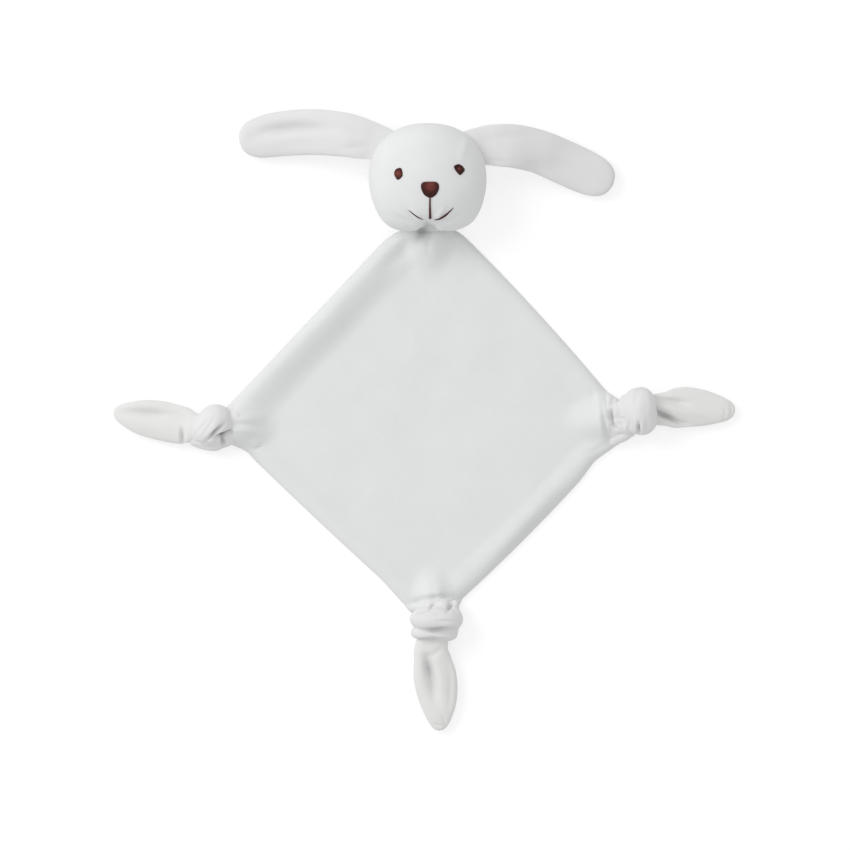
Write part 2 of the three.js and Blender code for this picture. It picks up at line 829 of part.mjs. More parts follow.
for (const [name, knot, shape] of [
  ["left", leftKnot, leftTail],
  ["right", rightKnot, rightTail],
  ["bottom", bottomKnot, bottomTail],
]) {
  comforter.add(
    mesh(`${name}_knot`, knotSolid(knot), whiteVelour),
    mesh(`${name}_tail`, tailSolid(shape), whiteVelour),
  );
}

// The axes that the pieces turn on, in the part's own frame
const foldAxis = (corner) => direction(corner.heading - 90);
const foldPoint = (corner) => cornerPoint(corner, 0, 0, corner.topHeight);
const axes = [];
const addAxis = (name, at, along) => axes.push({ name, at: at.toArray(), along: along.toArray() });
addAxis("neck_nod", foldPoint(neckCorner), foldAxis(neckCorner));
addAxis("neck_tilt", ballMiddle, up);
addAxis("neck_turn", ballMiddle, direction(neckCorner.heading));
for (const [name, shape] of [["left", leftEar], ["right", rightEar]]) {
  const { at, side } = earStation(shape, ear.hinge);
  addAxis(`${name}_ear_flop`, at, side.negate());
}
for (const [name, shape] of [["left", leftTail], ["right", rightTail], ["bottom", bottomTail]]) {
  const { corner } = shape.knot;
  addAxis(`${name}_corner_fold`, foldPoint(corner), foldAxis(corner));
  addAxis(`${name}_tail_flop`, tailRoot(shape).setZ(tail.rootTop), foldAxis(corner));
}
comforter.userData.axes = axes;

export default comforter;
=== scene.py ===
# A rabbit comforter in white cotton velour: a stuffed head with two padded ears, and a double
# blanket whose three free corners are tied in knots. It lies on its back on a table, face up.
# Sizes are in millimetres, and MM turns them into metres.
import json

import bmesh
import bpy
import numpy as np
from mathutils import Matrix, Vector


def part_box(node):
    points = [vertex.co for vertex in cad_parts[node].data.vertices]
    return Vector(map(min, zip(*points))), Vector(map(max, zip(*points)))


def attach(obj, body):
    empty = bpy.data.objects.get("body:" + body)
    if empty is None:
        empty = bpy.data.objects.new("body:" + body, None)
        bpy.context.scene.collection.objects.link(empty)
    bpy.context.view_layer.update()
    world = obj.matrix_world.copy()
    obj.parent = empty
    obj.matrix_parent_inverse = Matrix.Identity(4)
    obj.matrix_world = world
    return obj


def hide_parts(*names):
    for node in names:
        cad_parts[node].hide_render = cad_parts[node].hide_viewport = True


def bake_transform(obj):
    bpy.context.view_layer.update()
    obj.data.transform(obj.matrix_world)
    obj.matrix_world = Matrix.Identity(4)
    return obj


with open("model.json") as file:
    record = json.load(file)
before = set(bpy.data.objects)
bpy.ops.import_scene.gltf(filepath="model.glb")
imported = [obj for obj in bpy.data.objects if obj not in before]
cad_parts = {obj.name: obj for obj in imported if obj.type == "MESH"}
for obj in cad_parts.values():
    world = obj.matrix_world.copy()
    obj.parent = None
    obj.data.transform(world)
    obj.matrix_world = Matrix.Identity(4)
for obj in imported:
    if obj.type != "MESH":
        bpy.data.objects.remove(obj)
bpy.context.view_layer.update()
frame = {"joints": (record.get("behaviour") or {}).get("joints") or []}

# Blanket
# Two squares of velour, sewn round the edge and turned, so that the edge rolls into a soft round
# border. It is laid out flat with one corner to the head. Each corner is gathered: that one into the
# head, the others into their knots.

MM = 0.001
joints = {joint["name"]: joint for joint in frame["joints"]}


def ease(t):
    """0 up to 0, 1 from 1 on, and 3t² - 2t³ between."""
    t = np.clip(t, 0, 1)
    return t * t * (3 - 2 * t)


def mix(a, b, t):
    """a at 0, b at 1, and straight between."""
    return a + (b - a) * t


def ripple(points, length, seed):
    """Low waves from about -1 to 1: the sum of nine sines in random directions, over the root of
    nine, with wavelengths from 0.7 to 1.5 times the given length."""
    draw = np.random.default_rng(seed)
    runs = draw.normal(size=(3, 9))
    runs *= 2 * np.pi / (np.linalg.norm(runs, axis=0) * length * draw.uniform(0.7, 1.5, 9))
    return np.sin(points @ runs + draw.uniform(0, 2 * np.pi, 9)).sum(-1) / 3


def stretches(places):
    """The way between each two places, its length, and the length before each place."""
    runs = np.diff(places, axis=0)
    lengths = np.linalg.norm(runs, axis=1)
    return runs, lengths, np.concatenate([[0], np.cumsum(lengths)])


def folds(points, lines):
    """The height that folds (above 0) and creases (below 0) add. Each has a half width, a
    height and the x, y of two or more places on its way. It adds height · exp(-(distance / half
    width)²), and fades towards both ends as sin²(π · share)."""
    total = np.zeros(points.shape[:-1])
    for half_width, height, *places in lines:
        runs, lengths, before = stretches(places)
        nearest, share = np.full(total.shape, np.inf), np.zeros(total.shape)
        for place, run, length, start in zip(places, runs, lengths, before):
            here = points[..., :2] - place
            along = np.clip(here @ run / length**2, 0, 1)
            off = ((here - along[..., None] * run) ** 2).sum(-1)
            share = np.where(off < nearest, (start + along * length) / before[-1], share)
            nearest = np.minimum(off, nearest)
        total += height * np.exp(-nearest / half_width**2) * np.sin(np.pi * share) ** 2
    return total


def closed(rings):
    """Points and faces of a closed surface through rings of points: quads from ring to ring, and a
    fan to the middle of the first and of the last ring."""
    rows, count = rings.shape[:2]
    ids = np.arange(rows * count).reshape(rows, count)
    beside = np.roll(ids, -1, axis=1)
    quads = np.stack([ids[:-1], beside[:-1], beside[1:], ids[1:]], -1).reshape(-1, 4)
    first = np.stack([np.full(count, rows * count), beside[0], ids[0]], -1)
    last = np.stack([np.full(count, rows * count + 1), ids[-1], beside[-1]], -1)
    points = np.concatenate([rings.reshape(-1, 3), rings[[0, -1]].mean(1)])
    return points, [quads, first, last]


def painted_crease_shade(height):
    """The share of painted shade in a crease where folds() gives the height: 0 down to 0.6 mm deep, 1 from
    7 mm.
    """
    return ease((-height - 0.6) / 6.4)


def keep_values(mesh, name, values):
    """Keeps a value for each vertex of a mesh under a name, for its material."""
    mesh.attributes.new(name, "FLOAT", "POINT")
    mesh.attributes[name].data.foreach_set("value", values)


def cloth_piece(name, points, faces, material, slot, painted_shade=None):
    """A smooth mesh object from points in millimetres and arrays of faces, with its faces turned
    outwards, its material, each vertex's place at rest kept as "rest" for the pile of the cloth,
    and, where it is given, the share of painted shade at each vertex. The slot is not used."""
    mesh = bpy.data.meshes.new(name)
    mesh.from_pydata(points * MM, [], sum((some.tolist() for some in faces), []))
    shape = bmesh.new()
    shape.from_mesh(mesh)
    bmesh.ops.recalc_face_normals(shape, faces=shape.faces)
    shape.to_mesh(mesh)
    shape.free()
    mesh.shade_smooth()
    mesh.attributes.new("rest", "FLOAT_VECTOR", "POINT")
    mesh.attributes["rest"].data.foreach_set("vector", (points * MM).ravel())
    if painted_shade is not None:
        keep_values(mesh, "painted_shade", painted_shade)
    mesh.materials.append(material)
    made = bpy.data.objects.new(name, mesh)
    bpy.context.scene.collection.objects.link(made)
    return made


def with_inputs(node, **values):
    """A node with the given values on its inputs, with _ for the spaces in their names."""
    for socket, value in values.items():
        node.inputs[socket.replace("_", " ")].default_value = value
    return node


def wire(source, output, target, socket):
    """Links an output of one node to an input of another."""
    source.id_data.links.new(source.outputs[output], target.inputs[socket])


def velour_pile():
    """The node group for velour: Shade, a mask of how the nap lies, broad patches with fine pile
    in them, and Height, the tufts of the pile."""
    group = bpy.data.node_groups.new("velour_pile", "ShaderNodeTree")
    for socket, kind in (("Place", "Vector"), ("Tufts", "Float"), ("Nap", "Float")):
        group.interface.new_socket(name=socket, in_out="INPUT", socket_type="NodeSocket" + kind)
    for socket in ("Shade", "Height"):
        group.interface.new_socket(name=socket, in_out="OUTPUT", socket_type="NodeSocketFloat")
    new = group.nodes.new
    start, end = new("NodeGroupInput"), new("NodeGroupOutput")
    tufts = with_inputs(new("ShaderNodeTexNoise"), Detail=2)
    nap = with_inputs(new("ShaderNodeTexNoise"), Detail=3, Distortion=0.6)
    shade = with_inputs(new("ShaderNodeMix"), Factor=0.35)
    height = with_inputs(new("ShaderNodeMix"), Factor=0.2)
    wire(start, "Place", tufts, "Vector")
    wire(start, "Place", nap, "Vector")
    wire(start, "Tufts", tufts, "Scale")
    wire(start, "Nap", nap, "Scale")
    wire(nap, "Fac", shade, "A")
    wire(tufts, "Fac", shade, "B")
    wire(tufts, "Fac", height, "A")
    wire(nap, "Fac", height, "B")
    wire(shade, "Result", end, "Shade")
    wire(height, "Result", end, "Height")
    return group


def kept_values(nodes, name):
    """A node that reads what a mesh keeps under a name."""
    node = nodes.new("ShaderNodeAttribute")
    node.attribute_name = name
    return node


def between(nodes, first, second):
    """A node that goes from one linear colour to another."""
    node = nodes.new("ShaderNodeMix")
    node.data_type = "RGBA"
    return with_inputs(node, A=(*first, 1), B=(*second, 1))


def bumps(surface, source, output, strength, depth):
    """Bumps on a surface from a node's output, so deep in millimetres."""
    bump = with_inputs(surface.id_data.nodes.new("ShaderNodeBump"), Strength=strength, Distance=depth * MM)
    wire(source, output, bump, "Height")
    wire(bump, "Normal", surface, "Normal")


pile = velour_pile()
tuft = 0.42  # the size of the pile's tufts
painted_shade_colour = (0.52, 0.53, 0.53)  # painted shade: the colour that the velour darkens towards in deep creases and along lines where shade falls


def velour(name, raised, lying, patch):
    """Velour between two linear colours, of the raised and of the lying nap, in patches so many
    millimetres wide, and darkened with painted shade where its mesh keeps a share of it."""
    material = bpy.data.materials.new(name)
    material.use_nodes = True
    nodes = material.node_tree.nodes
    cloth = with_inputs(nodes["Principled BSDF"], Roughness=0.95, Specular_IOR_Level=0.2,
                        Sheen_Weight=0.12, Sheen_Roughness=0.5)
    texture = nodes.new("ShaderNodeGroup")
    texture.node_tree = pile
    with_inputs(texture, Tufts=1 / (tuft * MM), Nap=1 / (patch * MM))
    colour, painted_shade_mix = between(nodes, lying, raised), between(nodes, lying, painted_shade_colour)
    wire(kept_values(nodes, "rest"), "Vector", texture, "Place")
    wire(texture, "Shade", colour, "Factor")
    wire(kept_values(nodes, "painted_shade"), "Fac", painted_shade_mix, "Factor")
    wire(colour, "Result", painted_shade_mix, "A")
    wire(painted_shade_mix, "Result", cloth, "Base Color")
    bumps(cloth, texture, "Height", strength=0.5, depth=0.14)
    return material


blanket_velour = velour("blanket_velour", (0.82, 0.83, 0.825), (0.75, 0.762, 0.757), 14)


def corner(fold, **shape):
    """A corner of the blanket. Its gathered end lies at the joint that folds it: the middle of the
    end, the way out along the corner, a quarter turn past the joint's axis, and the way left."""
    x, y, top = np.array(joints[fold]["pos_m"]) / MM
    axis = np.array(joints[fold]["axis"][:2])
    return dict(shape, at=np.array([x, y]), top=top, out=np.array([-axis[1], axis[0]]), aside=-axis)


# The outline of each corner on its right and on its left: places so far out past its joint and so
# far to the side. The first is where the long edge ends, and the last is inside the head or the
# knot. Then how much the edge after it bows out, and its roll: how much it is lifted and swells, and
# how far in it is full and has run out. Last, how far the gathers reach, in how many pleats they
# stand, how deep those are, and what share of their height is lost where they end.
neck_corner = corner("neck_nod", right=[(-4.6, 22.5), (-0.6, 18.2), (2, 13), (6, 9)],
                     left=[(-4.6, 23.9), (-0.6, 18.5), (2, 13), (6, 9)],
                     bow=0, roll=(3.4, 1.2, 4, 23), reach=25, pleats=1, depth=1.2, drop=0.5)
left_corner = corner("left_corner_fold", right=[(-0.7, 13.8), (1.5, 11), (5, 8)],
                     left=[(-12, 19.3), (-8, 14.6), (-1.8, 11.8), (1.5, 10.4), (5, 8)],
                     bow=0.4, roll=(0.5, 0.2, 5, 14), reach=25, pleats=2, depth=0.8, drop=0.75)
bottom_corner = corner("bottom_corner_fold",
                       right=[(-17.2, 27.3), (-5.2, 18.6), (2, 13.2), (6, 9.5)],
                       left=[(-1.7, 14.8), (2, 12.5), (6, 10)],
                       bow=1.1, roll=(0.4, 0.7, 7, 16), reach=22, pleats=2, depth=0.8, drop=0.75)
right_corner = corner("right_corner_fold",
                      right=[(-20.1, 31.4), (-10.5, 21.7), (-1.3, 17.7), (0.7, 16.3), (4.3, 14.6),
                             (8, 12)],
                      left=[(-0.7, 18.2), (2, 13.6), (5, 10.9), (8, 9)],
                      bow=1.2, roll=(0.5, 0.2, 5, 14), reach=25, pleats=1, depth=0.8, drop=0.75)
corners = [neck_corner, left_corner, bottom_corner, right_corner]

blanket_level = 2.05  # the height of the seam's plane where the blanket lies flat
layer = 1.95  # the thickness of one layer, pile included
edge_round, gather_round = 7, 5  # the width over which the border and the gathers round off
edge_droop = 1.8  # how far the seam hangs below the middle of the two layers
gather_foot = 0.6  # the height of the gathers' underside
gather_crest = 0.12  # the share of their reach over which the gathers keep their height
gather_narrowing = 1.75  # they run out so much sooner to the sides
gather_fullness = 1.5  # the power by which their thickness follows their height
pleat_margin = 2  # their pleats fill the end's half width and so much more
pleat_fanning = 0.5  # and spread by so much for each millimetre away from the end
# From so far out past its joint, the cloth sinks by the share drop of its height over so much
gather_drop_from, gather_drop_over = -1, 6

# Folds in the blanket: down from the chin, and round the gathers of the knots
blanket_folds = [
    (4.4, -1.8, (1, 113), (-5.8, 100.4), (-15, 90), (-33, 72)),
    (2.6, -3.4, (-0.6, 113), (-2.8, 105), (-5.2, 100.4), (-9.6, 92.6)),
    (1.6, -0.8, (-0.8, 112), (-0.9, 98), (-1, 84)),
    (4.0, 0.9, (0, 108), (6.4, 99.4), (14, 90)),
    (4.8, -0.7, (3, 114), (14, 96), (36, 74)),
    (3, 0.7, (-26, 97), (-14, 100.4), (-2, 103)),
    (5, 1.2, (-120, 4), (-106, -0.4), (-88, -4)),
    (2, -1.0, (-118, -1.6), (-104, -4.8), (-88, -9)),
    (4.4, 0.8, (-120, -9), (-102, -11.4), (-82, -13)),
    (2.6, 0.7, (-105, -17.6), (-97.4, -16.4), (-89.6, -14)),
    (1.1, -1.0, (-101.4, -14), (-99, -17.6), (-96, -19), (-93, -17.4), (-91, -14)),
    (3.0, 1.3, (88, 20), (91.4, 12), (94, 4), (95, -6), (97, -18)),
    (1.4, -2.4, (94, 12), (95.4, 0), (96.8, -8), (99.4, -15), (102, -22)),
    (1.8, -0.9, (83, -21.4), (90.6, -19.8), (98, -16.6), (104, -12)),
    (1.6, -0.8, (87.4, 19.4), (90, 12), (90.4, 3)),
    (1.3, -2.8, (-18, -105), (-9.6, -103.1), (-3.4, -101.1), (3.3, -100.1), (7.6, -99.8), (14.3, -100.4),
     (20, -101)),
    (3.8, 0.7, (-22, -98), (-2, -97.4), (18, -95)),
]
# Painted shade where the cloth turns away from the lamp, inside the upper left border and on the
# lower right one, and in the crevice down from the chin: half width, share and places, as folds has them
painted_shade_lines = [
    (6.5, 0.24, (3, 104), (-94.7, 2.2), (-108, -11)),
    (3, 0.34, (106, -6.6), (89.6, -23.2), (21, -94.8), (5, -111.6)),
    (4.6, 0.6, (-1, 112), (-3.2, 104.6), (-4.6, 100), (-7.6, 92)),
]
blanket_waves = [(0.3, 55, 3), (0.12, 21, 4)]  # low waves in the cloth: height, length and seed
corner_points, edge_points = 64, 112
edge_crowding = 0.4  # how much closer an edge's points lie towards its ends
outline_rounds = 12  # how often the outline is averaged


def at_corner(corner, out, left):
    """The place in the plan so far out along a corner and so far to its left."""
    return corner["at"] + np.multiply.outer(out, corner["out"]) + np.multiply.outer(left, corner["aside"])


def blanket_outline():
    """The outline of the blanket, counter-clockwise, and its long edges as (start, end, outward
    normal, bow, roll). Each edge is start + (end - start) · t + normal · 4 · bow · t · (1 - t), the
    corners follow their places in straight lines, and all is rounded by averaging each point with
    its neighbours."""
    runs, edges = [], []
    for i, here in enumerate(corners):
        after = corners[(i + 1) % len(corners)]
        places = [(out, -away) for out, away in here["right"]] + here["left"][::-1]
        places = np.array([at_corner(here, *place) for place in places])
        *_, before = stretches(places)
        even = np.linspace(0, before[-1], corner_points)
        runs.append(np.stack([np.interp(even, before, side) for side in places.T], -1))
        start, (out, away) = places[-1], after["right"][0]
        end = at_corner(after, out, -away)
        run = end - start
        normal = np.array([run[1], -run[0]]) / np.hypot(*run)
        edges.append((start, end, normal, here["bow"], here["roll"]))
        t = np.linspace(0, 1, edge_points)[1:-1]
        t = mix(t, (1 - np.cos(np.pi * t)) / 2, edge_crowding)[:, None]
        runs.append(start + run * t + normal * 4 * here["bow"] * t * (1 - t))
    outline = np.concatenate(runs)
    for _ in range(outline_rounds):
        outline = (np.roll(outline, 1, 0) + 2 * outline + np.roll(outline, -1, 0)) / 4
    return outline, edges


outline, long_edges = blanket_outline()


def from_outline(ring):
    """How far in from the outline each point of a ring lies: the least distance to its short lines."""
    step = np.roll(outline, -1, 0) - outline
    here = ring[:, None] - outline
    along = np.clip((here * step).sum(-1) / (step**2).sum(-1), 0, 1)
    return np.sqrt(((here - along[..., None] * step) ** 2).sum(-1).min(-1))


def blanket_heights(plan, sinking=1):
    """The height of the seam's plane and the thickness of each layer over a ring of the plan.
    A distance d in from each long edge, its roll lifts the plane and swells the layers by
    ease((outer - d) / (outer - inner)). At a distance e from the outline the thickness closes to
    the seam as r = √(1 - (1 - e / round)²), and the plane hangs by droop · (1 - r). Near a corner
    both rise to the gathers, whose pleats fan out, and past it they sink into the knot, unless
    sinking is 0."""
    middle, thick, most_gathered = blanket_level, layer, 0
    for start, end, normal, bow, (raised, swell, inner, outer) in long_edges:
        run = end - start
        t = np.clip((plan - start) @ run / (run @ run), 0, 1)
        inward = (start - plan) @ normal + 4 * bow * t * (1 - t)
        roll = ease((outer - inward) / (outer - inner))
        middle = middle + raised * roll
        thick = thick + swell * roll
    lift = folds(plan, blanket_folds)
    for height, length, seed in blanket_waves:
        lift = lift + height * ripple(np.pad(plan, ((0, 0), (0, 1))), length, seed)
    for here in corners:
        out = (plan - here["at"]) @ here["out"]
        left = (plan - here["at"]) @ here["aside"]
        away = np.hypot(np.minimum(out, 0), left * gather_narrowing)
        gathered = ease(1 + gather_crest - away / here["reach"])
        width = (here["left"][-1][1] + here["right"][-1][1]) / 2 + pleat_margin
        fan = left / (width - pleat_fanning * np.minimum(out, 0))
        pleat = np.cos(np.pi * here["pleats"] * fan) ** 2
        sunk = sinking * here["drop"] * ease((out - gather_drop_from) / gather_drop_over)
        top = here["top"] * (1 - sunk) - here["depth"] * pleat
        full = (top + gather_foot) / 2
        middle = mix(middle, full, gathered)
        thick = mix(thick, top - full, gathered**gather_fullness)
        most_gathered = np.maximum(most_gathered, gathered)
    edge = from_outline(plan) / mix(edge_round, gather_round, most_gathered)
    rounding = np.sqrt(1 - np.clip(1 - edge, 0, 1) ** 2)
    top = thick + lift * ease(edge)
    return middle - edge_droop * (1 - rounding), top * rounding, thick * rounding


# Where the rings of the blanket's mesh lie, from its middle to its edge
outer_shares = np.concatenate([np.linspace(0.005, 0.72, 22), np.linspace(0.73, 0.94, 26),
                               0.94 + 0.06 * np.sin(np.linspace(0.15, np.pi / 2, 14))])
inner_shares = np.concatenate([[0.999, 0.99, 0.96], np.linspace(0.9, 0.005, 9)])
seam_gap = 0.04


def blanket_layer(side):
    """One layer as rings: its outer face out to the seam, and its inner face back. Side is 1 for the
    front layer and -1 for the back one."""
    rings = []
    for shares, outer in ((outer_shares, 1), (inner_shares, 0)):
        for share in shares:
            plan = outline * share
            middle, top, foot = blanket_heights(plan)
            middle = np.maximum(middle, foot + 2 * seam_gap)
            thick = top if side > 0 else foot
            height = middle + side * (seam_gap + outer * thick)
            rings.append(np.column_stack([plan, height]))
    return closed(np.array(rings))


front_points, front_faces = blanket_layer(1)
# The front layer gets painted shade in its deep creases and along the lines where shade falls
blanket_front = cloth_piece("blanket_front_cloth", front_points, front_faces, blanket_velour, "velour",
                            painted_crease_shade(folds(front_points, blanket_folds)) + folds(front_points, painted_shade_lines))
blanket_back = cloth_piece("blanket_back_cloth", *blanket_layer(-1), blanket_velour, "velour")
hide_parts("blanket_front")
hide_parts("blanket_back")
for layer_piece in (blanket_front, blanket_back):
    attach(layer_piece, "blanket")

# Tails
# The corner of the blanket past each knot: two layers of velour with the seam round their edge,
# flattened into a leaf, with soft hollows and creases where the knot pulls on them.


def smooth_path(stations, count):
    """Rows of numbers on a smooth path through the stations: the Catmull-Rom curve
    (2b + (c - a)t + (2a - 5b + 4c - d)t² + (3b - a - 3c + d)t³) / 2 through each four in turn."""
    stations = np.asarray(stations, float)
    before, after = 2 * stations[:1] - stations[1:2], 2 * stations[-1:] - stations[-2:-1]
    padded = np.concatenate([before, stations, after])
    place = np.linspace(0, len(stations) - 1, count)
    span = np.minimum(place.astype(int), len(stations) - 2)
    t = (place - span)[:, None]
    a, b, c, d = (padded[span + i] for i in range(4))
    return (2 * b + (c - a) * t + (2 * a - 5 * b + 4 * c - d) * t**2 + (3 * b - a - 3 * c + d) * t**3) / 2


table_gap = 0.25  # the cloth's lowest points stand this far off the table


def laid(height, soft=1.0):
    """Heights that come to rest on the table: (h + √(h² + soft²)) / 2 over the gap."""
    above = height - table_gap
    return table_gap + (above + np.sqrt(above**2 + soft**2)) / 2


def full_turn(count):
    """Even angles once round."""
    return np.linspace(0, 2 * np.pi, count, endpoint=False)


def bell(off, half):
    """exp(-(off / half)²)."""
    return np.exp(-((off / half) ** 2))


leaf_rows, leaf_count = 180, 128
leaf_squaring, leaf_flatness = 0.12, 0.88  # the powers that make its section fuller than an ellipse
seam_groove, seam_groove_half = 0.04, 0.11
leaf_end = 0.03  # the share of its section that is left at its ends
leaf_wave, leaf_wave_length = 0.2, 20


def leaf(stations, creases, blunt):
    """The rings of a flat, soft leaf of cloth along stations of x, y, half width, level and half
    thickness. Its section is a flattened ellipse with a groove at the edge seam, and over its share
    t of the length it closes to its tip as √(1 - t^blunt). Also the painted shade in its creases,
    with the two middles of its ends."""
    path = smooth_path(stations, leaf_rows)
    centre, half, level, thick = path[:, :2], path[:, 2, None], path[:, 3, None], path[:, 4, None]
    step = np.gradient(centre, axis=0)
    length = np.cumsum(np.linalg.norm(step, axis=1))
    along = step / np.linalg.norm(step, axis=1, keepdims=True)
    left = np.stack([-along[:, 1], along[:, 0]], -1)
    turn = full_turn(leaf_count)
    side = np.cos(turn) * np.abs(np.cos(turn)) ** -leaf_squaring
    rise = np.sign(np.sin(turn)) * np.abs(np.sin(turn)) ** leaf_flatness
    groove = seam_groove * bell(np.sin(turn), seam_groove_half)
    t = (length - length[0]) / (length[-1] - length[0])
    closing = (np.sqrt(1 - t**blunt) * (1 - leaf_end) + leaf_end)[:, None]
    across = half * side * (1 - groove) * closing
    plan = centre[:, None] + across[..., None] * left[:, None]
    height = level + thick * rise * np.sqrt(closing)
    rings = np.concatenate([plan, height[..., None]], -1)
    upper = ease(rise * 1.3 + 0.2) * closing
    creased = upper * folds(rings, creases)
    wave = upper * leaf_wave * ripple(rings, leaf_wave_length, 21)
    rings[..., 2] = laid(rings[..., 2] + creased + wave, 0.5)
    return rings, np.append(painted_crease_shade(creased), [0, 0])


tail_velour = velour("tail_velour", (0.83, 0.83, 0.82), (0.765, 0.765, 0.755), 12)
left_corner["leaf"] = leaf([
    (-119, -7.6, 6.2, 6.6, 4.6), (-125, -7.4, 7.2, 6.4, 4.7), (-130.4, -6.8, 8.4, 6.2, 4.8),
    (-134.5, -6, 10.1, 5.6, 4.8), (-140, -4.9, 10.8, 5, 4.6), (-150, -2.7, 10.9, 4.4, 4),
    (-159.5, -1.1, 9.8, 4.1, 3.7), (-167, 0.4, 7.9, 3.8, 3.4), (-174.1, 2.1, 6.8, 3.2, 2.8)], [
    (2.4, -2.6, (-179, 1.6), (-163, 1.4), (-147, 0.4), (-129, -1)),
    (3.2, 0.7, (-173, 6), (-157, 8), (-141, 5.6)),
    (1.3, -2.6, (-136.4, -4), (-136, -11), (-135.6, -20)),
    (3.2, 0.5, (-168, -2), (-152, -7), (-134, -9)),
    (2.6, -0.9, (-146, -2.4), (-136, -2.6), (-124, -4)),
], 10)
right_corner["leaf"] = leaf([
    (114, 2.8, 6.8, 6.8, 4.6), (120, 3, 7.8, 6.6, 4.7), (125.5, 3.1, 8.9, 6.2, 4.8),
    (129.5, 3.3, 9.5, 5.8, 4.8), (134.2, 3.6, 10.9, 5.3, 4.8), (141, 4.4, 11.2, 4.7, 4.3),
    (151, 3.8, 10, 4.2, 3.8), (160.6, 2.9, 7.6, 3.8, 3.4), (167.9, 2.5, 6.4, 3.2, 2.8)], [
    (1.7, -2.4, (118, 10.6), (128.4, 8.2), (136, 7.2), (148, 6)),
    (2.6, 1.2, (116, 9), (128, 5), (140, 1.6), (160, -0.4)),
    (1.6, -4.2, (115, 6), (123.6, 2.4), (129, 0.2), (136, -3.4), (148, -6.6)),
    (1.2, -1.6, (120, 2.6), (125.6, 0.8), (129.6, -1.4), (134, -3.6)),
    (1.1, 0.9, (121, -1.6), (131, -6.2), (144, -8.4)),
    (0.7, -0.7, (165, 11), (165.9, 2.6), (165, -6)),
    (0.8, -0.4, (160, 8), (162.6, 2), (161, -5)),
], 14)
bottom_corner["leaf"] = leaf([
    (2.6, -116, 7.4, 6.8, 4.6), (1.8, -122, 8.4, 6.6, 4.6), (0.7, -129.2, 9.5, 6.2, 4.7),
    (1.4, -135, 10.5, 5.5, 4.8), (2.5, -142, 11.8, 4.9, 4.6), (3.6, -149.5, 11.8, 4.5, 4.2),
    (4.5, -157.5, 10.6, 4.2, 3.9), (5, -166, 8.3, 3.9, 3.5), (5.2, -173.7, 6.4, 3.2, 2.8)], [
    (2.8, -3.2, (-2.6, -124), (-0.6, -138), (1.2, -146), (4.4, -164)),
    (2.1, -1.6, (-2.6, -130.4), (-0.9, -138), (1.4, -147)),
    (1.8, -0.8, (-10, -133.6), (-3, -132.8), (2, -131.8), (7, -128), (11, -124)),
    (2.4, 0.7, (-8, -128), (-6.4, -141), (-3, -156)),
    (1.4, -0.5, (8, -130), (11.4, -143), (10.8, -158), (7.6, -170)),
    (2.6, 0.6, (3, -132), (6, -144), (6.4, -160)),
    (0.9, -0.8, (5.6, -163), (8, -168.4), (8.8, -174)),
    (0.8, -0.6, (0.6, -169.6), (4.6, -170.6), (8.6, -171.8)),
], 11)

knotted = {"left": left_corner, "right": right_corner, "bottom": bottom_corner}
for side, here in knotted.items():
    rings, painted_shade = here["leaf"]
    here["tail"] = cloth_piece(side + "_tail_cloth", *closed(rings), tail_velour, "velour", painted_shade)
    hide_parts(side + "_tail")
    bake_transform(here["tail"])

# Knots
# Each free corner of the blanket is tied in an overhand knot. A gathered bundle of cloth leads out
# of the blanket, wraps round itself in one or two fat turns, and leaves as the tail. Nothing else
# holds it.


strand_rows, strand_count = 70, 72
strand_blunt, strand_end = 14, 0.1  # how bluntly it closes, and the share that is left at its ends


def strand(stations, lengthways):
    """A bundle of cloth along stations of x, y, z, half width and half height. Its width lies along
    the direction lengthways where that is square to its path. Its section is an ellipse, and over t
    from -1 to 1 it closes to both ends as √(1 - t^blunt)."""
    path = smooth_path(stations, strand_rows)
    centre, half_width, half_height = path[:, :3], path[:, 3, None], path[:, 4, None]
    tangent = np.gradient(centre, axis=0)
    tangent /= np.linalg.norm(tangent, axis=1, keepdims=True)
    wide = np.asarray(lengthways, float) - (tangent @ lengthways)[:, None] * tangent
    wide /= np.linalg.norm(wide, axis=1, keepdims=True)
    high = np.cross(tangent, wide)
    turn = full_turn(strand_count)
    closing = np.sqrt(1 - np.linspace(-1, 1, strand_rows) ** strand_blunt)[:, None]
    closing = closing * (1 - strand_end) + strand_end
    across = half_width * np.cos(turn) * closing
    over = half_height * np.sin(turn) * closing
    rings = centre[:, None] + across[..., None] * wide[:, None] + over[..., None] * high[:, None]
    return closed(rings)


lobe_rows, lobe_count = 48, 72
lobe_end = 1.5  # its rings rise from minus to plus this angle, just short of its poles


def lobe(centre, along, across, up, heading=0, power=2):
    """A swelling of gathered cloth: |x / along|^power + |y / across|^power = 1 in the plan, turned to
    its heading in degrees, and drawn in towards its top and foot as a ball is."""
    rise = np.linspace(-lobe_end, lobe_end, lobe_rows)[:, None]
    turn = full_turn(lobe_count)[None]
    reach = (np.abs(np.cos(turn)) ** power + np.abs(np.sin(turn)) ** power) ** (-1 / power)
    x = along * np.cos(rise) * np.cos(turn) * reach
    y = across * np.cos(rise) * np.sin(turn) * reach
    way = np.radians(heading)
    rings = np.stack([x * np.cos(way) - y * np.sin(way), x * np.sin(way) + y * np.cos(way),
                      up * np.sin(rise) + 0 * turn], -1)
    return closed(rings + np.array(centre))


root_rows, root_count = 60, 56
root_sunk, root_grown = -2.4, 0.5  # how far it stands out of the blanket, where it starts and where full
root_before, root_beside = 3, 60  # the outline counts from so far before its start and so far aside
root_short = 0.6  # it ends so far short of the outline's end
root_least = 0.1


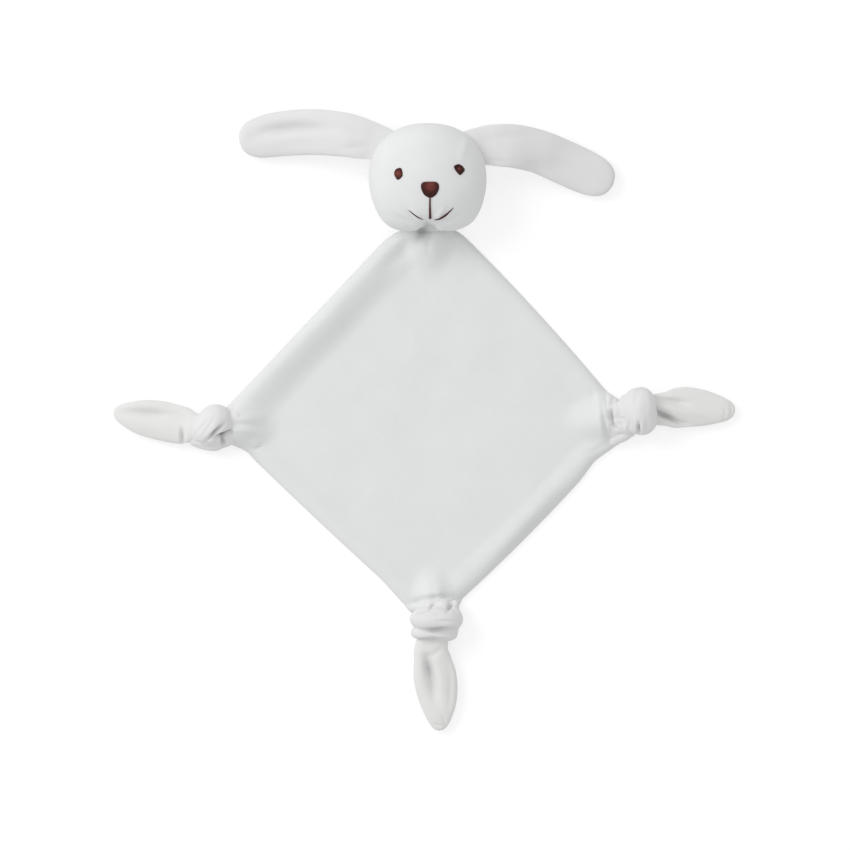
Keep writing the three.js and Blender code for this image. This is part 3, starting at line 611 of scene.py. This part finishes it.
def root(here, start, full):
    """The blanket's own corner from so far out to its end, whose cloth goes on into the knot: it
    comes out of the blanket on the way from start to full."""
    places = outline - here["at"]
    out, left = places @ here["out"], places @ here["aside"]
    near = (out > start - root_before) & (np.abs(left) < root_beside)
    end = min(out[near & (left > 0)].max(), out[near & (left < 0)].max()) - root_short
    rows = np.linspace(start, end, root_rows)
    halves = []
    for side in (1, -1):
        chosen = near & (side * left > 0)
        order = np.argsort(out[chosen])
        halves.append(side * np.interp(rows, out[chosen][order], (side * left)[chosen][order]))
    centre, half = (halves[0] + halves[1])[:, None] / 2, (halves[0] - halves[1])[:, None] / 2
    across = np.cos(np.linspace(0, np.pi, root_count))
    at_left = centre + half * across
    plan = here["at"] + rows[:, None, None] * here["out"] + at_left[..., None] * here["aside"]
    heights = blanket_heights(plan.reshape(-1, 2), sinking=0)
    middle, top, foot = (part.reshape(at_left.shape) for part in heights)
    growth = mix(root_sunk, root_grown, ease((rows - start) / (full - start)))[:, None]
    plan += (growth * across)[..., None] * here["aside"]
    upper = np.concatenate([plan, (middle + np.maximum(top + growth, root_least))[..., None]], -1)
    lower = np.concatenate([plan, (middle - np.maximum(foot + growth, root_least))[..., None]], -1)
    return closed(np.concatenate([upper, lower[:, ::-1]], 1))


tail_grown, tail_sunk = 1.07, 0.8  # the size of its section inside the knot and where it ends
tail_sinking = 6  # it goes from one to the other over so much
tail_past = 1  # and ends so far past the joint


def tail_start(side):
    """The start of a tail up to the joint that flops it, a little larger inside the knot and sunk
    into the tail at the joint."""
    rings, _ = knotted[side]["leaf"]
    middles = rings.mean(1)
    length = np.linalg.norm(middles - middles[0], axis=1)
    flop = np.array(joints[side + "_tail_flop"]["pos_m"][:2]) / MM
    end = length[np.argmin(np.linalg.norm(middles[:, :2] - flop, axis=1))] + tail_past
    kept = length < end
    size = mix(tail_grown, tail_sunk, ease((length[kept] - end + tail_sinking) / tail_sinking))
    size = size[:, None, None]
    return closed(middles[kept][:, None] + (rings[kept] - middles[kept][:, None]) * size)


skin_voxel, skin_smoothing = 0.45, 12  # the size of the skin's faces, and how often it is smoothed
skin_wave, skin_wave_length = 0.12, 7


def tied(name, forms, creases, material):
    """A knot: its strands and lobes made one by a voxel remesh, smoothed, creased and laid on the
    table. A crease moves the upper side in along the normal, by its height from folds()."""
    points, faces, start = [], [], 0
    for some_points, some_faces in forms:
        points.append(some_points)
        faces += [some + start for some in some_faces]
        start += len(some_points)
    rough = cloth_piece(name + "_forms", np.concatenate(points), faces, material, "velour")
    remesh = rough.modifiers.new("one_skin", "REMESH")
    remesh.mode = "VOXEL"
    remesh.voxel_size = skin_voxel * MM
    soften = rough.modifiers.new("soften", "SMOOTH")
    soften.factor = 0.5
    soften.iterations = skin_smoothing
    skin = bpy.data.meshes.new_from_object(rough.evaluated_get(bpy.context.evaluated_depsgraph_get()))
    bpy.data.objects.remove(rough)
    places, normals = np.empty(len(skin.vertices) * 3), np.empty(len(skin.vertices) * 3)
    skin.vertices.foreach_get("co", places)
    skin.vertices.foreach_get("normal", normals)
    quads = np.empty(len(skin.loops), np.int32)
    skin.loops.foreach_get("vertex_index", quads)
    bpy.data.meshes.remove(skin)
    places, normals = places.reshape(-1, 3) / MM, normals.reshape(-1, 3)
    upper = ease(normals[:, 2] * 1.5 + 0.3)
    creased = folds(places, creases) * upper
    # Painted shade in the knot's creases, in the blanket's creases and along the lines where shade falls
    painted_shade = painted_crease_shade(creased + folds(places, blanket_folds) * upper) + folds(places, painted_shade_lines) * upper
    depth = creased + skin_wave * ripple(places, skin_wave_length, 11)
    places = places + depth[:, None] * normals
    places[:, 2] = laid(places[:, 2])
    return cloth_piece(name, places, [quads.reshape(-1, 4)], material, "velour", painted_shade)


knot_velour = velour("knot_velour", (0.82, 0.825, 0.82), (0.75, 0.757, 0.75), 10)
upright = (0, 0, 1)

left_corner["knot"] = tied("left_knot_cloth", [
    root(left_corner, -8, 2),
    tail_start("left"),
    lobe((-119.8, -5.4, 10.8), 12.2, 9.4, 10.2, heading=54, power=2.15),
    lobe((-107.2, -1.6, 8.6), 5, 4.2, 5.2),
    strand([(-127, -14.6, 6, 4.4, 3.8), (-120, -13.8, 8.4, 5, 4.4), (-114.4, -10.8, 10.4, 5.2, 4.4),
            (-110.6, -6, 9.4, 4.6, 4.4)], upright),
    strand([(-132, -11.4, 5.4, 4.2, 4), (-127, -13.4, 5.8, 4.6, 4.8), (-119.4, -15, 6.2, 5, 4.8),
            (-112.4, -13, 6.6, 4.8, 4.4), (-106.4, -9.2, 5.4, 4, 3.8)], upright),
], [
    (1.0, -4.2, (-126, -17), (-120.3, -12.3), (-114.8, -6.6), (-110, -2)),
    (1.4, -4.8, (-122, -12.8), (-116.9, -12.7), (-112.6, -11.6), (-109, -8.6), (-104, -4)),
    (1.3, -4.2, (-112.4, -9), (-113.4, -15), (-114, -20)),
    (1.2, -0.6, (-131, -13), (-124.6, -6), (-119, 3)),
    (1.2, -0.6, (-127.6, -14.4), (-121.8, -6.6), (-116, 3.4)),
    (1.0, -0.5, (-133, -9.6), (-128, -4), (-122.4, 2.6)),
    (0.8, -0.8, (-135, -12.6), (-125, -16), (-115, -16.2)),
    (0.8, -0.7, (-133, -15.4), (-123, -18), (-113, -17.8)),
], knot_velour)

right_corner["knot"] = tied("right_knot_cloth", [
    root(right_corner, -5, 3.5),
    tail_start("right"),
    lobe((115.8, 2.1, 11.4), 13.2, 9.5, 11.2, heading=96, power=2.4),
    lobe((104.4, 2.8, 8.8), 5, 6.8, 6, heading=96, power=2.4),
    lobe((109.4, 3, 9.8), 8.6, 6, 8.4, heading=96, power=2.4),
    lobe((104.6, -2, 8.4), 5, 6.4, 5.8, heading=90, power=2.4),
    lobe((105.2, -6.2, 8), 4.8, 4.6, 5.6, power=2.2),
    lobe((109, -6, 8.4), 5, 5, 6.4),
    strand([(99.4, -15.6, 2.6, 2.4, 2.4), (102.4, -13.6, 3.6, 3, 3), (107, -10.4, 5.2, 4.4, 3.8),
            (112, -6.6, 7.4, 5, 4)], upright),
], [
    (0.95, -3.4, (102, 13), (100.2, 7), (99, 2.6), (99.4, -2), (100.6, -6), (104.4, -10), (109, -13.6)),
    (0.9, -1.2, (98, -1.6), (103, -1.7), (109, -2.8)),
    (1.0, -1.2, (110.4, 1), (109.2, -5), (109.4, -12)),
    (1.1, -3.4, (114.8, -1.6), (114.5, -8), (114.9, -16)),
    (1.3, -0.8, (111.4, 0), (111.4, -6), (112.2, -13)),
    (1.4, -0.6, (119, 1), (119.2, -5), (118.8, -12)),
    (1.6, -0.5, (116, 16), (113, 9), (112.6, 2)),
    (1.5, -1.8, (123.8, 12), (125.6, 3), (124.2, -7)),
], knot_velour)

bottom_corner["knot"] = tied("bottom_knot_cloth", [
    root(bottom_corner, -6.5, -0.5),
    tail_start("bottom"),
    lobe((3.3, -112.4, 11.2), 14.4, 7.4, 10.9, heading=-3, power=2.3),
    lobe((11.6, -112, 9.2), 6.6, 6.8, 8),
    lobe((9.4, -116.6, 8.4), 6.6, 4.8, 7.4, heading=-20),
    lobe((2.4, -120, 8.8), 12.9, 4.6, 8.4, heading=-2, power=2.6),
    lobe((7.2, -105.4, 9.4), 4.2, 4.4, 5.4, power=2.2),
    lobe((13, -105.6, 7.8), 3.2, 4, 5.4, power=2.2),
], [
    (1.0, -4.0, (-9, -118.2), (1, -118.5), (9, -118), (20, -117.2)),
    (0.9, -1.4, (0, -120.6), (8, -120.2), (17, -120.8)),
    (1.0, -3.4, (-13, -124.4), (1, -124), (13, -123.2)),
    (1.1, -2.8, (-13.6, -111.4), (-7.4, -108.6), (-1, -106.6), (4.4, -106)),
    (1.0, -2.2, (8.6, -109.6), (10.6, -106.2), (12.4, -102.4), (13.6, -99)),
    (1.0, -1.8, (-1.6, -108), (1.8, -103.8), (4.4, -99.6)),
    (0.9, -0.6, (-1, -113.8), (9, -113.2), (19, -114)),
    (0.9, -0.5, (-6, -111.4), (5, -110.2), (15, -111)),
], knot_velour)

for side, here in knotted.items():
    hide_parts(side + "_knot")
    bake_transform(here["knot"])

# Neck
# The fourth corner of the blanket, gathered into a tuft and pushed up into the head's opening. The
# hem of the head's cover is drawn tight round it with a thread and stitched through.

neck_x, nod_y, nod_z = np.array(joints["neck_nod"]["pos_m"]) / MM
turn_at = np.array(joints["neck_turn"]["pos_m"]) / MM

neck_tuft = tied("neck_tuft_cloth", [
    root(neck_corner, -4, 4),
    strand([(neck_x, nod_y + 1, 6, 7, 3.4), (neck_x, nod_y + 4, 6.6, 7, 4.6),
            (neck_x, turn_at[1] + 1.6, 9.6, 6.4, 6), (neck_x, turn_at[1] + 5.6, 11.4, 5.8, 6)], (1, 0, 0)),
], [], blanket_velour)
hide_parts("neck_gather")
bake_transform(neck_tuft)

hem_radius, hem_y = 8.8, turn_at[1] + 3.4
hem_half_thick, hem_half_long = 1.45, 2.5
hem_puckers = 13
hem_out, hem_sway = 0.7, 0.5  # how far each pucker stands out and leans along the neck
hem_count, hem_section_count = 156, 28


def hem_ring():
    """The drawn-in hem: a ring round the neck with an oval section, whose radius and place along
    the neck swing with |sin(puckers · turn / 2)|."""
    turn = full_turn(hem_count)[:, None]
    section = full_turn(hem_section_count)
    swing = np.abs(np.sin(hem_puckers * turn / 2))
    radius = hem_radius + hem_out * swing + hem_half_thick * np.cos(section)
    along = hem_y + hem_sway * swing + hem_half_long * np.sin(section)
    x = turn_at[0] + radius * np.cos(turn)
    z = turn_at[2] + radius * np.sin(turn)
    points = np.stack([x, along, z], -1).reshape(-1, 3)
    ids = np.arange(len(points)).reshape(hem_count, hem_section_count)
    down, over = np.roll(ids, -1, 0), np.roll(ids, -1, 1)
    faces = np.stack([ids, down, np.roll(down, -1, 1), over], -1).reshape(-1, 4)
    return points, [faces]


head_velour = velour("head_velour", (0.825, 0.83, 0.83), (0.755, 0.762, 0.762), 11)
neck_hem = cloth_piece("neck_hem_cloth", *hem_ring(), head_velour, "velour")
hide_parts("neck_hem")
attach(neck_hem, "collar")

# Head
# A ball of fibre filling in a cover of two velour halves, sewn together round the side. It has
# settled a little on the table, and its cover is puckered in at the chin round the neck.

_, seam_high = (np.array(v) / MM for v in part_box("head_back"))
head_middle = np.array([turn_at[0], nod_y + 29.9, seam_high[2] + 0.2])
head_half_width, head_half_height, head_half_depth = 32.4, 29.9, 22.5
crown_fullness, chin_fullness = 0.85, 0.5
crown_depth_fullness, chin_depth_fullness = 0.75, 1.0
depth_crown = -0.1  # the rise from which the depth has the crown's fullness
chin_groove, chin_groove_half = 5.2, 4.8  # how far the chin is drawn in over the neck, and how wide
chin_groove_low, chin_groove_high = 26, 40  # it fades out between these heights
chin_from, chin_over = -0.62, 0.3  # the rise below which the chin starts, and how soon it is full
neck_sink, neck_sink_reach = 3.4, 10  # how far it is drawn in all round the neck
pucker_height, pucker_reach, pucker_ring = 1.0, 10, 11  # the puckers are highest so far from the neck
pucker_turns, pucker_low = 7.5, 0.6
seam_depth, seam_half = 0.45, 0.8
seam_from, seam_over = -0.95, 0.2  # the rise from which the side seam shows, and how soon it is full
head_wave, head_wave_length = 0.14, 24
head_rows, head_count = 150, 240
head_pole = 0.99985  # the rise of its last ring
# Creases from the corner of each ear's seam, and the puckers of the chin
head_creases = [
    (2.6, 0.6, (22, 160), (19.4, 149), (15.6, 134)),
    (1.4, -0.6, (20, 158), (26.4, 151), (31, 136)),
    (1.4, -0.5, (-20, 158), (-26.6, 151), (-32, 138)),
    (1.3, -0.8, (-16, 115.6), (-9.4, 108.8), (-2, 102)),
    (1.3, -0.8, (12, 116), (6.6, 109.2), (1, 102)),
    (1.5, -0.8, (-23, 111.4), (-13, 106.4), (-3, 102.6)),
    (1.5, -0.8, (21, 111.6), (11, 106.4), (1, 103)),
    (1.7, 0.9, (-11.6, 116), (-6.4, 108.6), (-1.6, 102)),
    (1.7, 0.9, (10, 115.6), (4.8, 108.6), (0, 102)),
]


def head_halves(rise):
    """The head's half width and half depth at a rise from -1 at the chin to 1 at the crown: with
    round = √(1 - rise²), each is its most · round^fullness, and each fullness goes from the chin's
    to the crown's."""
    round_off = np.sqrt(np.maximum(1 - rise**2, 0))
    across = round_off ** mix(chin_fullness, crown_fullness, ease((rise + 1) / 2))
    deeper = ease((rise + 1) / (depth_crown + 1))
    deep = round_off ** mix(chin_depth_fullness, crown_depth_fullness, deeper)
    return head_half_width * across, head_half_depth * deep


def head_shell(rise, turn):
    """The head's cover: at each rise an ellipse of the head's two halves."""
    half_width, half_depth = head_halves(rise)
    x = half_width * np.cos(turn)
    z = half_depth * np.sin(turn)
    y = head_half_height * rise + 0 * turn
    return np.stack([x, y, z], -1) + head_middle


def outward_from(shell):
    """The direction square to the ball with the head's half sizes, at the shell's points."""
    outward = (shell - head_middle) / np.array([head_half_width, head_half_height, head_half_depth]) ** 2
    return outward / np.linalg.norm(outward, axis=-1, keepdims=True)


def head_relief(shell):
    """How far the cover stands out of the shell: its creases, a groove -depth · exp(-(height / half)²)
    at the side seam, and puckers |sin(turns · angle)| - low round the neck. Also how far a point is
    down the chin, from 0 to 1."""
    facing = ease(outward_from(shell)[..., 2] * 1.5)
    relief = folds(shell, head_creases) * facing + head_wave * ripple(shell, head_wave_length, 31)
    rise = (shell[..., 1] - head_middle[1]) / head_half_height
    chin = ease((chin_from - rise) / chin_over)
    at_seam = bell(shell[..., 2] - head_middle[2], seam_half)
    relief -= seam_depth * at_seam * ease((rise - seam_from) / seam_over)
    across, over = shell[..., 0] - turn_at[0], shell[..., 2] - turn_at[2]
    puckers = np.abs(np.sin(pucker_turns * np.arctan2(over, across))) - pucker_low
    fading = bell(np.hypot(across, over) - pucker_ring, pucker_reach)
    return relief + pucker_height * puckers * chin * fading, chin


def head_surface():
    """The shell with its relief, its chin drawn in by groove · exp(-(x / half)²) and, round the
    neck, by sink · exp(-(distance / reach)²), and laid on the table."""
    rise = np.clip(np.sin(np.linspace(-1, 1, head_rows) * np.pi / 2), -head_pole, head_pole)[:, None]
    shell = head_shell(rise, full_turn(head_count)[None])
    relief, chin = head_relief(shell)
    across = shell[..., 0] - turn_at[0]
    away = np.hypot(across, shell[..., 2] - turn_at[2])
    fading = ease((chin_groove_high - shell[..., 2]) / (chin_groove_high - chin_groove_low))
    drawn = chin_groove * bell(across, chin_groove_half) * fading
    sunk = neck_sink * bell(away, neck_sink_reach)
    shell = shell + relief[..., None] * outward_from(shell)
    shell[..., 1] += np.maximum(drawn, sunk) * chin
    shell[..., 2] = laid(shell[..., 2])
    return shell


head = cloth_piece("head_cover", *closed(head_surface()), head_velour, "velour")
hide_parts("head_front", "head_back", "head_filling")
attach(head, "head")

# Ears
# Each ear is two long panels of velour with a thin wadding between them, sewn round the edge and
# caught in the head's side seam. It is pinched flat at its root, where it folds, and hangs down
# to the table.

# A copy of the white velour about 3 % darker than the head's: painted shade on the ears
ear_velour_painted_shade = velour("ear_velour_painted_shade", (0.797, 0.802, 0.797), (0.731, 0.739, 0.734), 13)
left_ear = leaf([
    (-13, 145, 5.5, 21.4, 2.6), (-22, 147.8, 8.6, 21.4, 2.4), (-31, 150.4, 10.4, 21.2, 1.6),
    (-39, 152.3, 11.7, 20.4, 2.6), (-48.4, 154.3, 12.4, 17.8, 4), (-65.1, 155.6, 12.8, 12.4, 4.6),
    (-82, 154.6, 12.6, 7.4, 4.6), (-95, 152.4, 12.5, 5.2, 4.6), (-104.8, 150.2, 12.6, 4.8, 4.4)], [
    (3.2, -3.2, (-106, 150), (-88, 156.4), (-73, 158.4), (-44, 156)),
    (3.4, 0.5, (-98, 160), (-80, 165), (-58, 164)),
    (3, 0.5, (-100, 148), (-72, 153), (-44, 154)),
    (2.4, -0.8, (-54, 160), (-41, 154.4), (-30, 153)),
    (2, -0.7, (-54, 146), (-41, 147), (-30, 149)),
], 14)
right_ear = leaf([
    (11, 146.6, 5.5, 21.4, 2.6), (20, 147.8, 8.4, 21.4, 2.4), (30, 148.3, 10.9, 21.2, 1.6),
    (38, 148.2, 11.8, 20.4, 2.6), (47, 147.7, 12.2, 18, 4), (59.5, 144.9, 12.2, 13, 4.6),
    (72.4, 139.6, 12.4, 8, 4.6), (83.8, 134.4, 12.5, 5.4, 4.6), (100.8, 126.8, 12.6, 4.8, 4.4)], [
    (2.0, -0.6, (24, 139), (37, 139.4), (52, 138)),
    (3.0, -1.2, (50, 140), (58.6, 136.6), (68, 130)),
    (3, -0.7, (26, 151), (42, 153), (62, 153)),
    (3.4, 0.5, (50, 150), (76, 140.4), (100, 129)),
], 14)
for side, (rings, painted_shade) in (("left", left_ear), ("right", right_ear)):
    piece = cloth_piece(side + "_ear_cloth", *closed(rings), ear_velour_painted_shade, "velour", painted_shade)
    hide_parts(*(f"{side}_ear_{part}" for part in ("base", "front", "back", "wadding")))
    hinge, axis = (np.array(joints[side + "_ear_flop"][key]) for key in ("pos_m", "axis"))
    outward = np.cross(axis, (0, 0, 1))
    outward *= np.sign(outward[0] * (hinge[0] - head_middle[0] * MM)) * MM
    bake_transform(piece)

# Eyes and nose
# Patches of satin stitch: rows of glossy red-brown thread laid side by side through the velour,
# over a few threads that make them stand up.

thread_pitch, thread_ridge = 0.42, 0.13  # the width of a row and how far it stands out
stitch_rings, rim_rings, stitch_count = 44, 10, 260
stitch_pole, stitch_rim = 0.01, 0.9  # the shares of a patch between which its rings lie evenly
rim_from = 0.2  # where on its quarter turn the rim starts
rag, fine_rag = (0.008, 37), (0.006, 61)  # how far the rim wavers, and how often on its way round
stitch_depth = 0.5  # how far its underside lies below the face
painted_glint_base, painted_glint_spot = 0.08, 1.6  # the painted highlight everywhere, and what its painted bright spot adds
painted_glint_low, painted_glint_ridge = 0.55, 0.45  # the share of the painted spot between the rows, and what their ridges add to it
# the painted highlight at the two middles that close each patch
painted_glint_pole = 0.5
fibre_length = 0.9


def satin_thread(name, light, dark):
    """Embroidery thread between two linear colours, a painted highlight and the thread's own dark colour:
    its fibres times the painted highlight that the mesh keeps go from the dark one towards the highlight.
    """
    material = bpy.data.materials.new(name)
    material.use_nodes = True
    nodes = material.node_tree.nodes
    thread = with_inputs(nodes["Principled BSDF"], Roughness=0.5, Specular_IOR_Level=0.2)
    fibre = with_inputs(nodes.new("ShaderNodeTexNoise"), Scale=1 / (fibre_length * MM), Detail=3)
    lit = nodes.new("ShaderNodeMath")
    lit.operation = "MULTIPLY"
    colour = between(nodes, dark, light)
    wire(kept_values(nodes, "rest"), "Vector", fibre, "Vector")
    wire(fibre, "Fac", lit, 0)
    wire(kept_values(nodes, "painted_highlight"), "Fac", lit, 1)
    wire(lit, "Value", colour, "Factor")
    wire(colour, "Result", thread, "Base Color")
    bumps(thread, fibre, "Fac", strength=0.3, depth=0.1)
    return material


# Its first colour is a painted highlight, and the second the thread's own dark red-brown
red_brown = satin_thread("red_brown_thread", (0.27, 0.062, 0.046), (0.022, 0.003, 0.002))


def on_face(x, y):
    """The height of the face at an x and y from the head's middle, with the cover's relief."""
    half_width, half_depth = head_halves(y / head_half_height)
    up = half_depth * np.sqrt(1 - (x / half_width) ** 2)
    points = np.stack([x + 0 * up, y + 0 * up, up], -1) + head_middle
    return points[..., 2] + head_relief(points)[0] / outward_from(points)[..., 2]


def stitches(node, rings, painted_highlight):
    """The stitches that stand for a node, from rings round the head's middle. The painted highlight
    of each vertex is kept for the thread."""
    rings[..., :2] += head_middle[:2]
    made = cloth_piece(node + "_stitches", *closed(rings), red_brown, "thread")
    keep_values(made.data, "painted_highlight", painted_highlight)
    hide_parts(node)
    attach(made, "head")


def rounded(places):
    """The radius of a smooth closed outline through a few places round a patch's middle."""
    places = np.array(places)
    path = smooth_path(np.concatenate([places[-2:], places, places[:3]]), 400)
    path_turn, path_radius = np.arctan2(path[:, 1], path[:, 0]), np.hypot(*path.T)
    return lambda turn: np.interp(turn, path_turn, path_radius, period=2 * np.pi)


def satin_patch(node, x, y, places, stitch_turn, height, painted_spot):
    """A patch of stitches with the outline (x, y) + radius(turn) · (cos, sin) through its places: a
    dome √(1 - size⁴) of the height, with a ridge |sin(π · across / pitch)| for each row of thread.
    The last argument gives the x, y and size of a painted highlight spot, from the patch's middle."""
    turn = full_turn(stitch_count)[None]
    rim = stitch_rim + (1 - stitch_rim) * np.sin(np.linspace(rim_from, np.pi / 2, rim_rings))
    size = np.concatenate([np.linspace(stitch_pole, stitch_rim, stitch_rings), rim])[:, None]
    ragged = 1 + rag[0] * np.sin(rag[1] * turn) + fine_rag[0] * np.sin(fine_rag[1] * turn + 1)
    radius = rounded(places)(turn)
    dx = size * radius * np.cos(turn) * ragged
    dy = size * radius * np.sin(turn) * ragged
    angle = np.radians(stitch_turn)
    across = -dx * np.sin(angle) + dy * np.cos(angle)
    ridge = np.abs(np.sin(np.pi * across / thread_pitch))
    dome = np.sqrt(1 - size**4) * (height - thread_ridge * (1 - ridge))
    face = on_face(x + dx, y + dy)
    top = np.stack([x + dx, y + dy, face + dome], -1)
    under = np.stack([x + dx, y + dy, face - stitch_depth], -1)[::-1]
    near = bell(np.hypot(dx - painted_spot[0], dy - painted_spot[1]), painted_spot[2])
    # Painted highlight: a little everywhere, and a spot that is lighter on the ridges of the rows
    painted_highlight = painted_glint_base + painted_glint_spot * near * (painted_glint_low + painted_glint_ridge * ridge)
    stitches(node, np.concatenate([top, under]),
             np.concatenate([painted_highlight.ravel(), painted_highlight[::-1].ravel(), [painted_glint_pole, painted_glint_pole]]))


satin_patch("left_eye", -16.1, 1.9,
            [(2.3, 0.3), (1.2, 3.1), (-1.4, 2.5), (-2.4, -0.3), (-0.5, -3.4), (1.8, -1.9)],
            stitch_turn=30, height=0.9, painted_spot=(-0.2, 0, 1.7))
satin_patch("right_eye", 17.2, 4.2,
            [(3.1, -0.1), (1.8, 1.9), (0, 2.9), (-1.6, 2.6), (-2.9, 1.6), (-2, -0.6), (0.4, -3.1),
             (2.1, -1.9)],
            stitch_turn=50, height=0.9, painted_spot=(0.1, 0.3, 0.8))
satin_patch("nose", 1.2, -6.6,
            [(4.9, 0), (4.8, 2.6), (3.4, 3.9), (0, 4.1), (-3.4, 3.9), (-4.9, 2.5), (-4.8, 0),
             (-3.4, -2.9), (-1.5, -4.4), (0, -4.8), (1.5, -4.5), (3.5, -2.9)],
            stitch_turn=90, height=1.1, painted_spot=(0.2, 1.8, 2.7))

# Mouth
# One upright line and the two halves of a smile, in backstitch of the same thread, pulled a little
# into the velour and thinning out at the ends of the smile.


line_rings, line_count = 90, 24
ply_pitch, ply_depth = 1.1, 0.14  # the length of a ply, and how deep the plies part
line_rise = 0.2  # how far the middle of the thread lies off the face


def stitched_line(node, stations, painted_shine):
    """A line of thread along stations of x, y and radius from the head's middle, half sunk in the
    face, with slanting plies: its radius swings by |sin(turn + π · length / pitch)|. Its painted
    shine, the same all along the line, is kept for the thread as its painted highlight."""
    path = smooth_path(stations, line_rings)
    x, y, radius = path.T
    along = np.gradient(path[:, :2], axis=0)
    length = np.cumsum(np.hypot(*along.T))
    along /= np.linalg.norm(along, axis=1, keepdims=True)
    turn = full_turn(line_count)
    plies = 1 - ply_depth + ply_depth * np.abs(np.sin(turn + (np.pi * length / ply_pitch)[:, None]))
    side = radius[:, None] * np.cos(turn) * plies
    over = radius[:, None] * np.sin(turn) * plies
    px = x[:, None] - side * along[:, 1, None]
    py = y[:, None] + side * along[:, 0, None]
    rings = np.stack([px, py, on_face(px, py) + over + line_rise], -1)
    stitches(node, rings, np.full(px.size + 2, painted_shine))


stitched_line("mouth_line", [(1.2, -10.6, 0.44), (1.15, -14.6, 0.48), (1.2, -18.6, 0.62), (1.3, -23, 0.72)],
              painted_shine=0.35)
stitched_line("smile_left", [(-10.6, -18.2, 0.08), (-8.4, -19.9, 0.32), (-5.6, -22, 0.34),
                             (-2.4, -23.6, 0.08)], painted_shine=0.25)
stitched_line("smile_right", [(3.4, -23.6, 0.1), (6.4, -23, 0.42), (9.4, -21.2, 0.58), (12.2, -18.7, 0.34),
                              (14.2, -16.8, 0.08)], painted_shine=0.25)

# Sheets
# Both layers of the blanket lie flat. Each is the part of a cut square that lies between the four
# gathers. The rest of the squares is in the knots, tails and tuft.

# Floor, light and camera
# A white table under an even white light, with a broad soft lamp from the upper left, seen from
# straight above.

floor_half = 4
floor_mesh = bpy.data.meshes.new("floor")
floor_corners = [(x * floor_half, y * floor_half, 0) for x, y in ((-1, -1), (1, -1), (1, 1), (-1, 1))]
floor_mesh.from_pydata(floor_corners, [], [(0, 1, 2, 3)])
floor = bpy.data.objects.new("floor", floor_mesh)
bpy.context.scene.collection.objects.link(floor)


def seen_directly(nodes):
    """A node with 1 for rays from the camera, from gloss and through glass, and 0 for the others."""
    path = nodes.new("ShaderNodeLightPath")
    either, any_of = nodes.new("ShaderNodeMath"), nodes.new("ShaderNodeMath")
    either.operation = any_of.operation = "MAXIMUM"
    wire(path, "Is Camera Ray", either, 0)
    wire(path, "Is Glossy Ray", either, 1)
    wire(either, "Value", any_of, 0)
    wire(path, "Is Transmission Ray", any_of, 1)
    return any_of


# The table glows white where it is seen, and its darker matt colour then keeps the toy's shadow
table_glow = 0.65
table_top = bpy.data.materials.new("table_top")
table_top.use_nodes = True
nodes = table_top.node_tree.nodes
nodes.remove(nodes["Principled BSDF"])
matt, glow = nodes.new("ShaderNodeBsdfDiffuse"), nodes.new("ShaderNodeEmission")
seen, glow_strength = seen_directly(nodes), nodes.new("ShaderNodeMath")
glow_strength.operation = "MULTIPLY"
glow_strength.inputs[1].default_value = table_glow
shadow = between(nodes, (0.8, 0.8, 0.8), (0.42, 0.42, 0.42))
both = nodes.new("ShaderNodeAddShader")
wire(seen, "Value", glow_strength, 0)
wire(seen, "Value", shadow, "Factor")
wire(shadow, "Result", matt, "Color")
wire(glow_strength, "Value", glow, "Strength")
wire(matt, "BSDF", both, 0)
wire(glow, "Emission", both, 1)
wire(both, "Shader", nodes["Material Output"], "Surface")
floor_mesh.materials.append(table_top)

room_light, room_seen = 0.72, 1  # the white of the room: as light on the toy, and where it is seen
world = bpy.data.worlds.new("white_room")
world.use_nodes = True
nodes = world.node_tree.nodes
room_level = with_inputs(nodes.new("ShaderNodeMix"), A=room_light, B=room_seen)
room = with_inputs(nodes["Background"], Color=(1, 1, 1, 1))
wire(seen_directly(nodes), "Value", room_level, "Factor")
wire(room_level, "Result", room, "Strength")
bpy.context.scene.world = world

# A square lamp that faces the middle of the comforter, in metres and watts
key = bpy.data.lights.new("key_light", "AREA")
key.size = 1.3
key.energy = 25
key_light = bpy.data.objects.new("key_light", key)
key_light.location = (-1.7, 1.1, 1.7)
key_light.rotation_mode = "QUATERNION"
key_light.rotation_quaternion = key_light.location.to_track_quat("Z", "Y")
bpy.context.scene.collection.objects.link(key_light)

picture_width = 0.4675  # metres across the picture, at the height of the comforter's middle
picture_middle = (-2.75, -5.5, 10)  # what the camera looks straight down at, in millimetres
camera_height = 12  # metres above it
lens = bpy.data.cameras.new("overhead")
lens.sensor_width = 36
lens.lens = lens.sensor_width * camera_height / picture_width
camera = bpy.data.objects.new("overhead", lens)
camera.location = np.array(picture_middle) * MM + (0, 0, camera_height)
bpy.context.scene.collection.objects.link(camera)
bpy.context.scene.camera = camera
bpy.context.scene.view_settings.view_transform = "Standard"
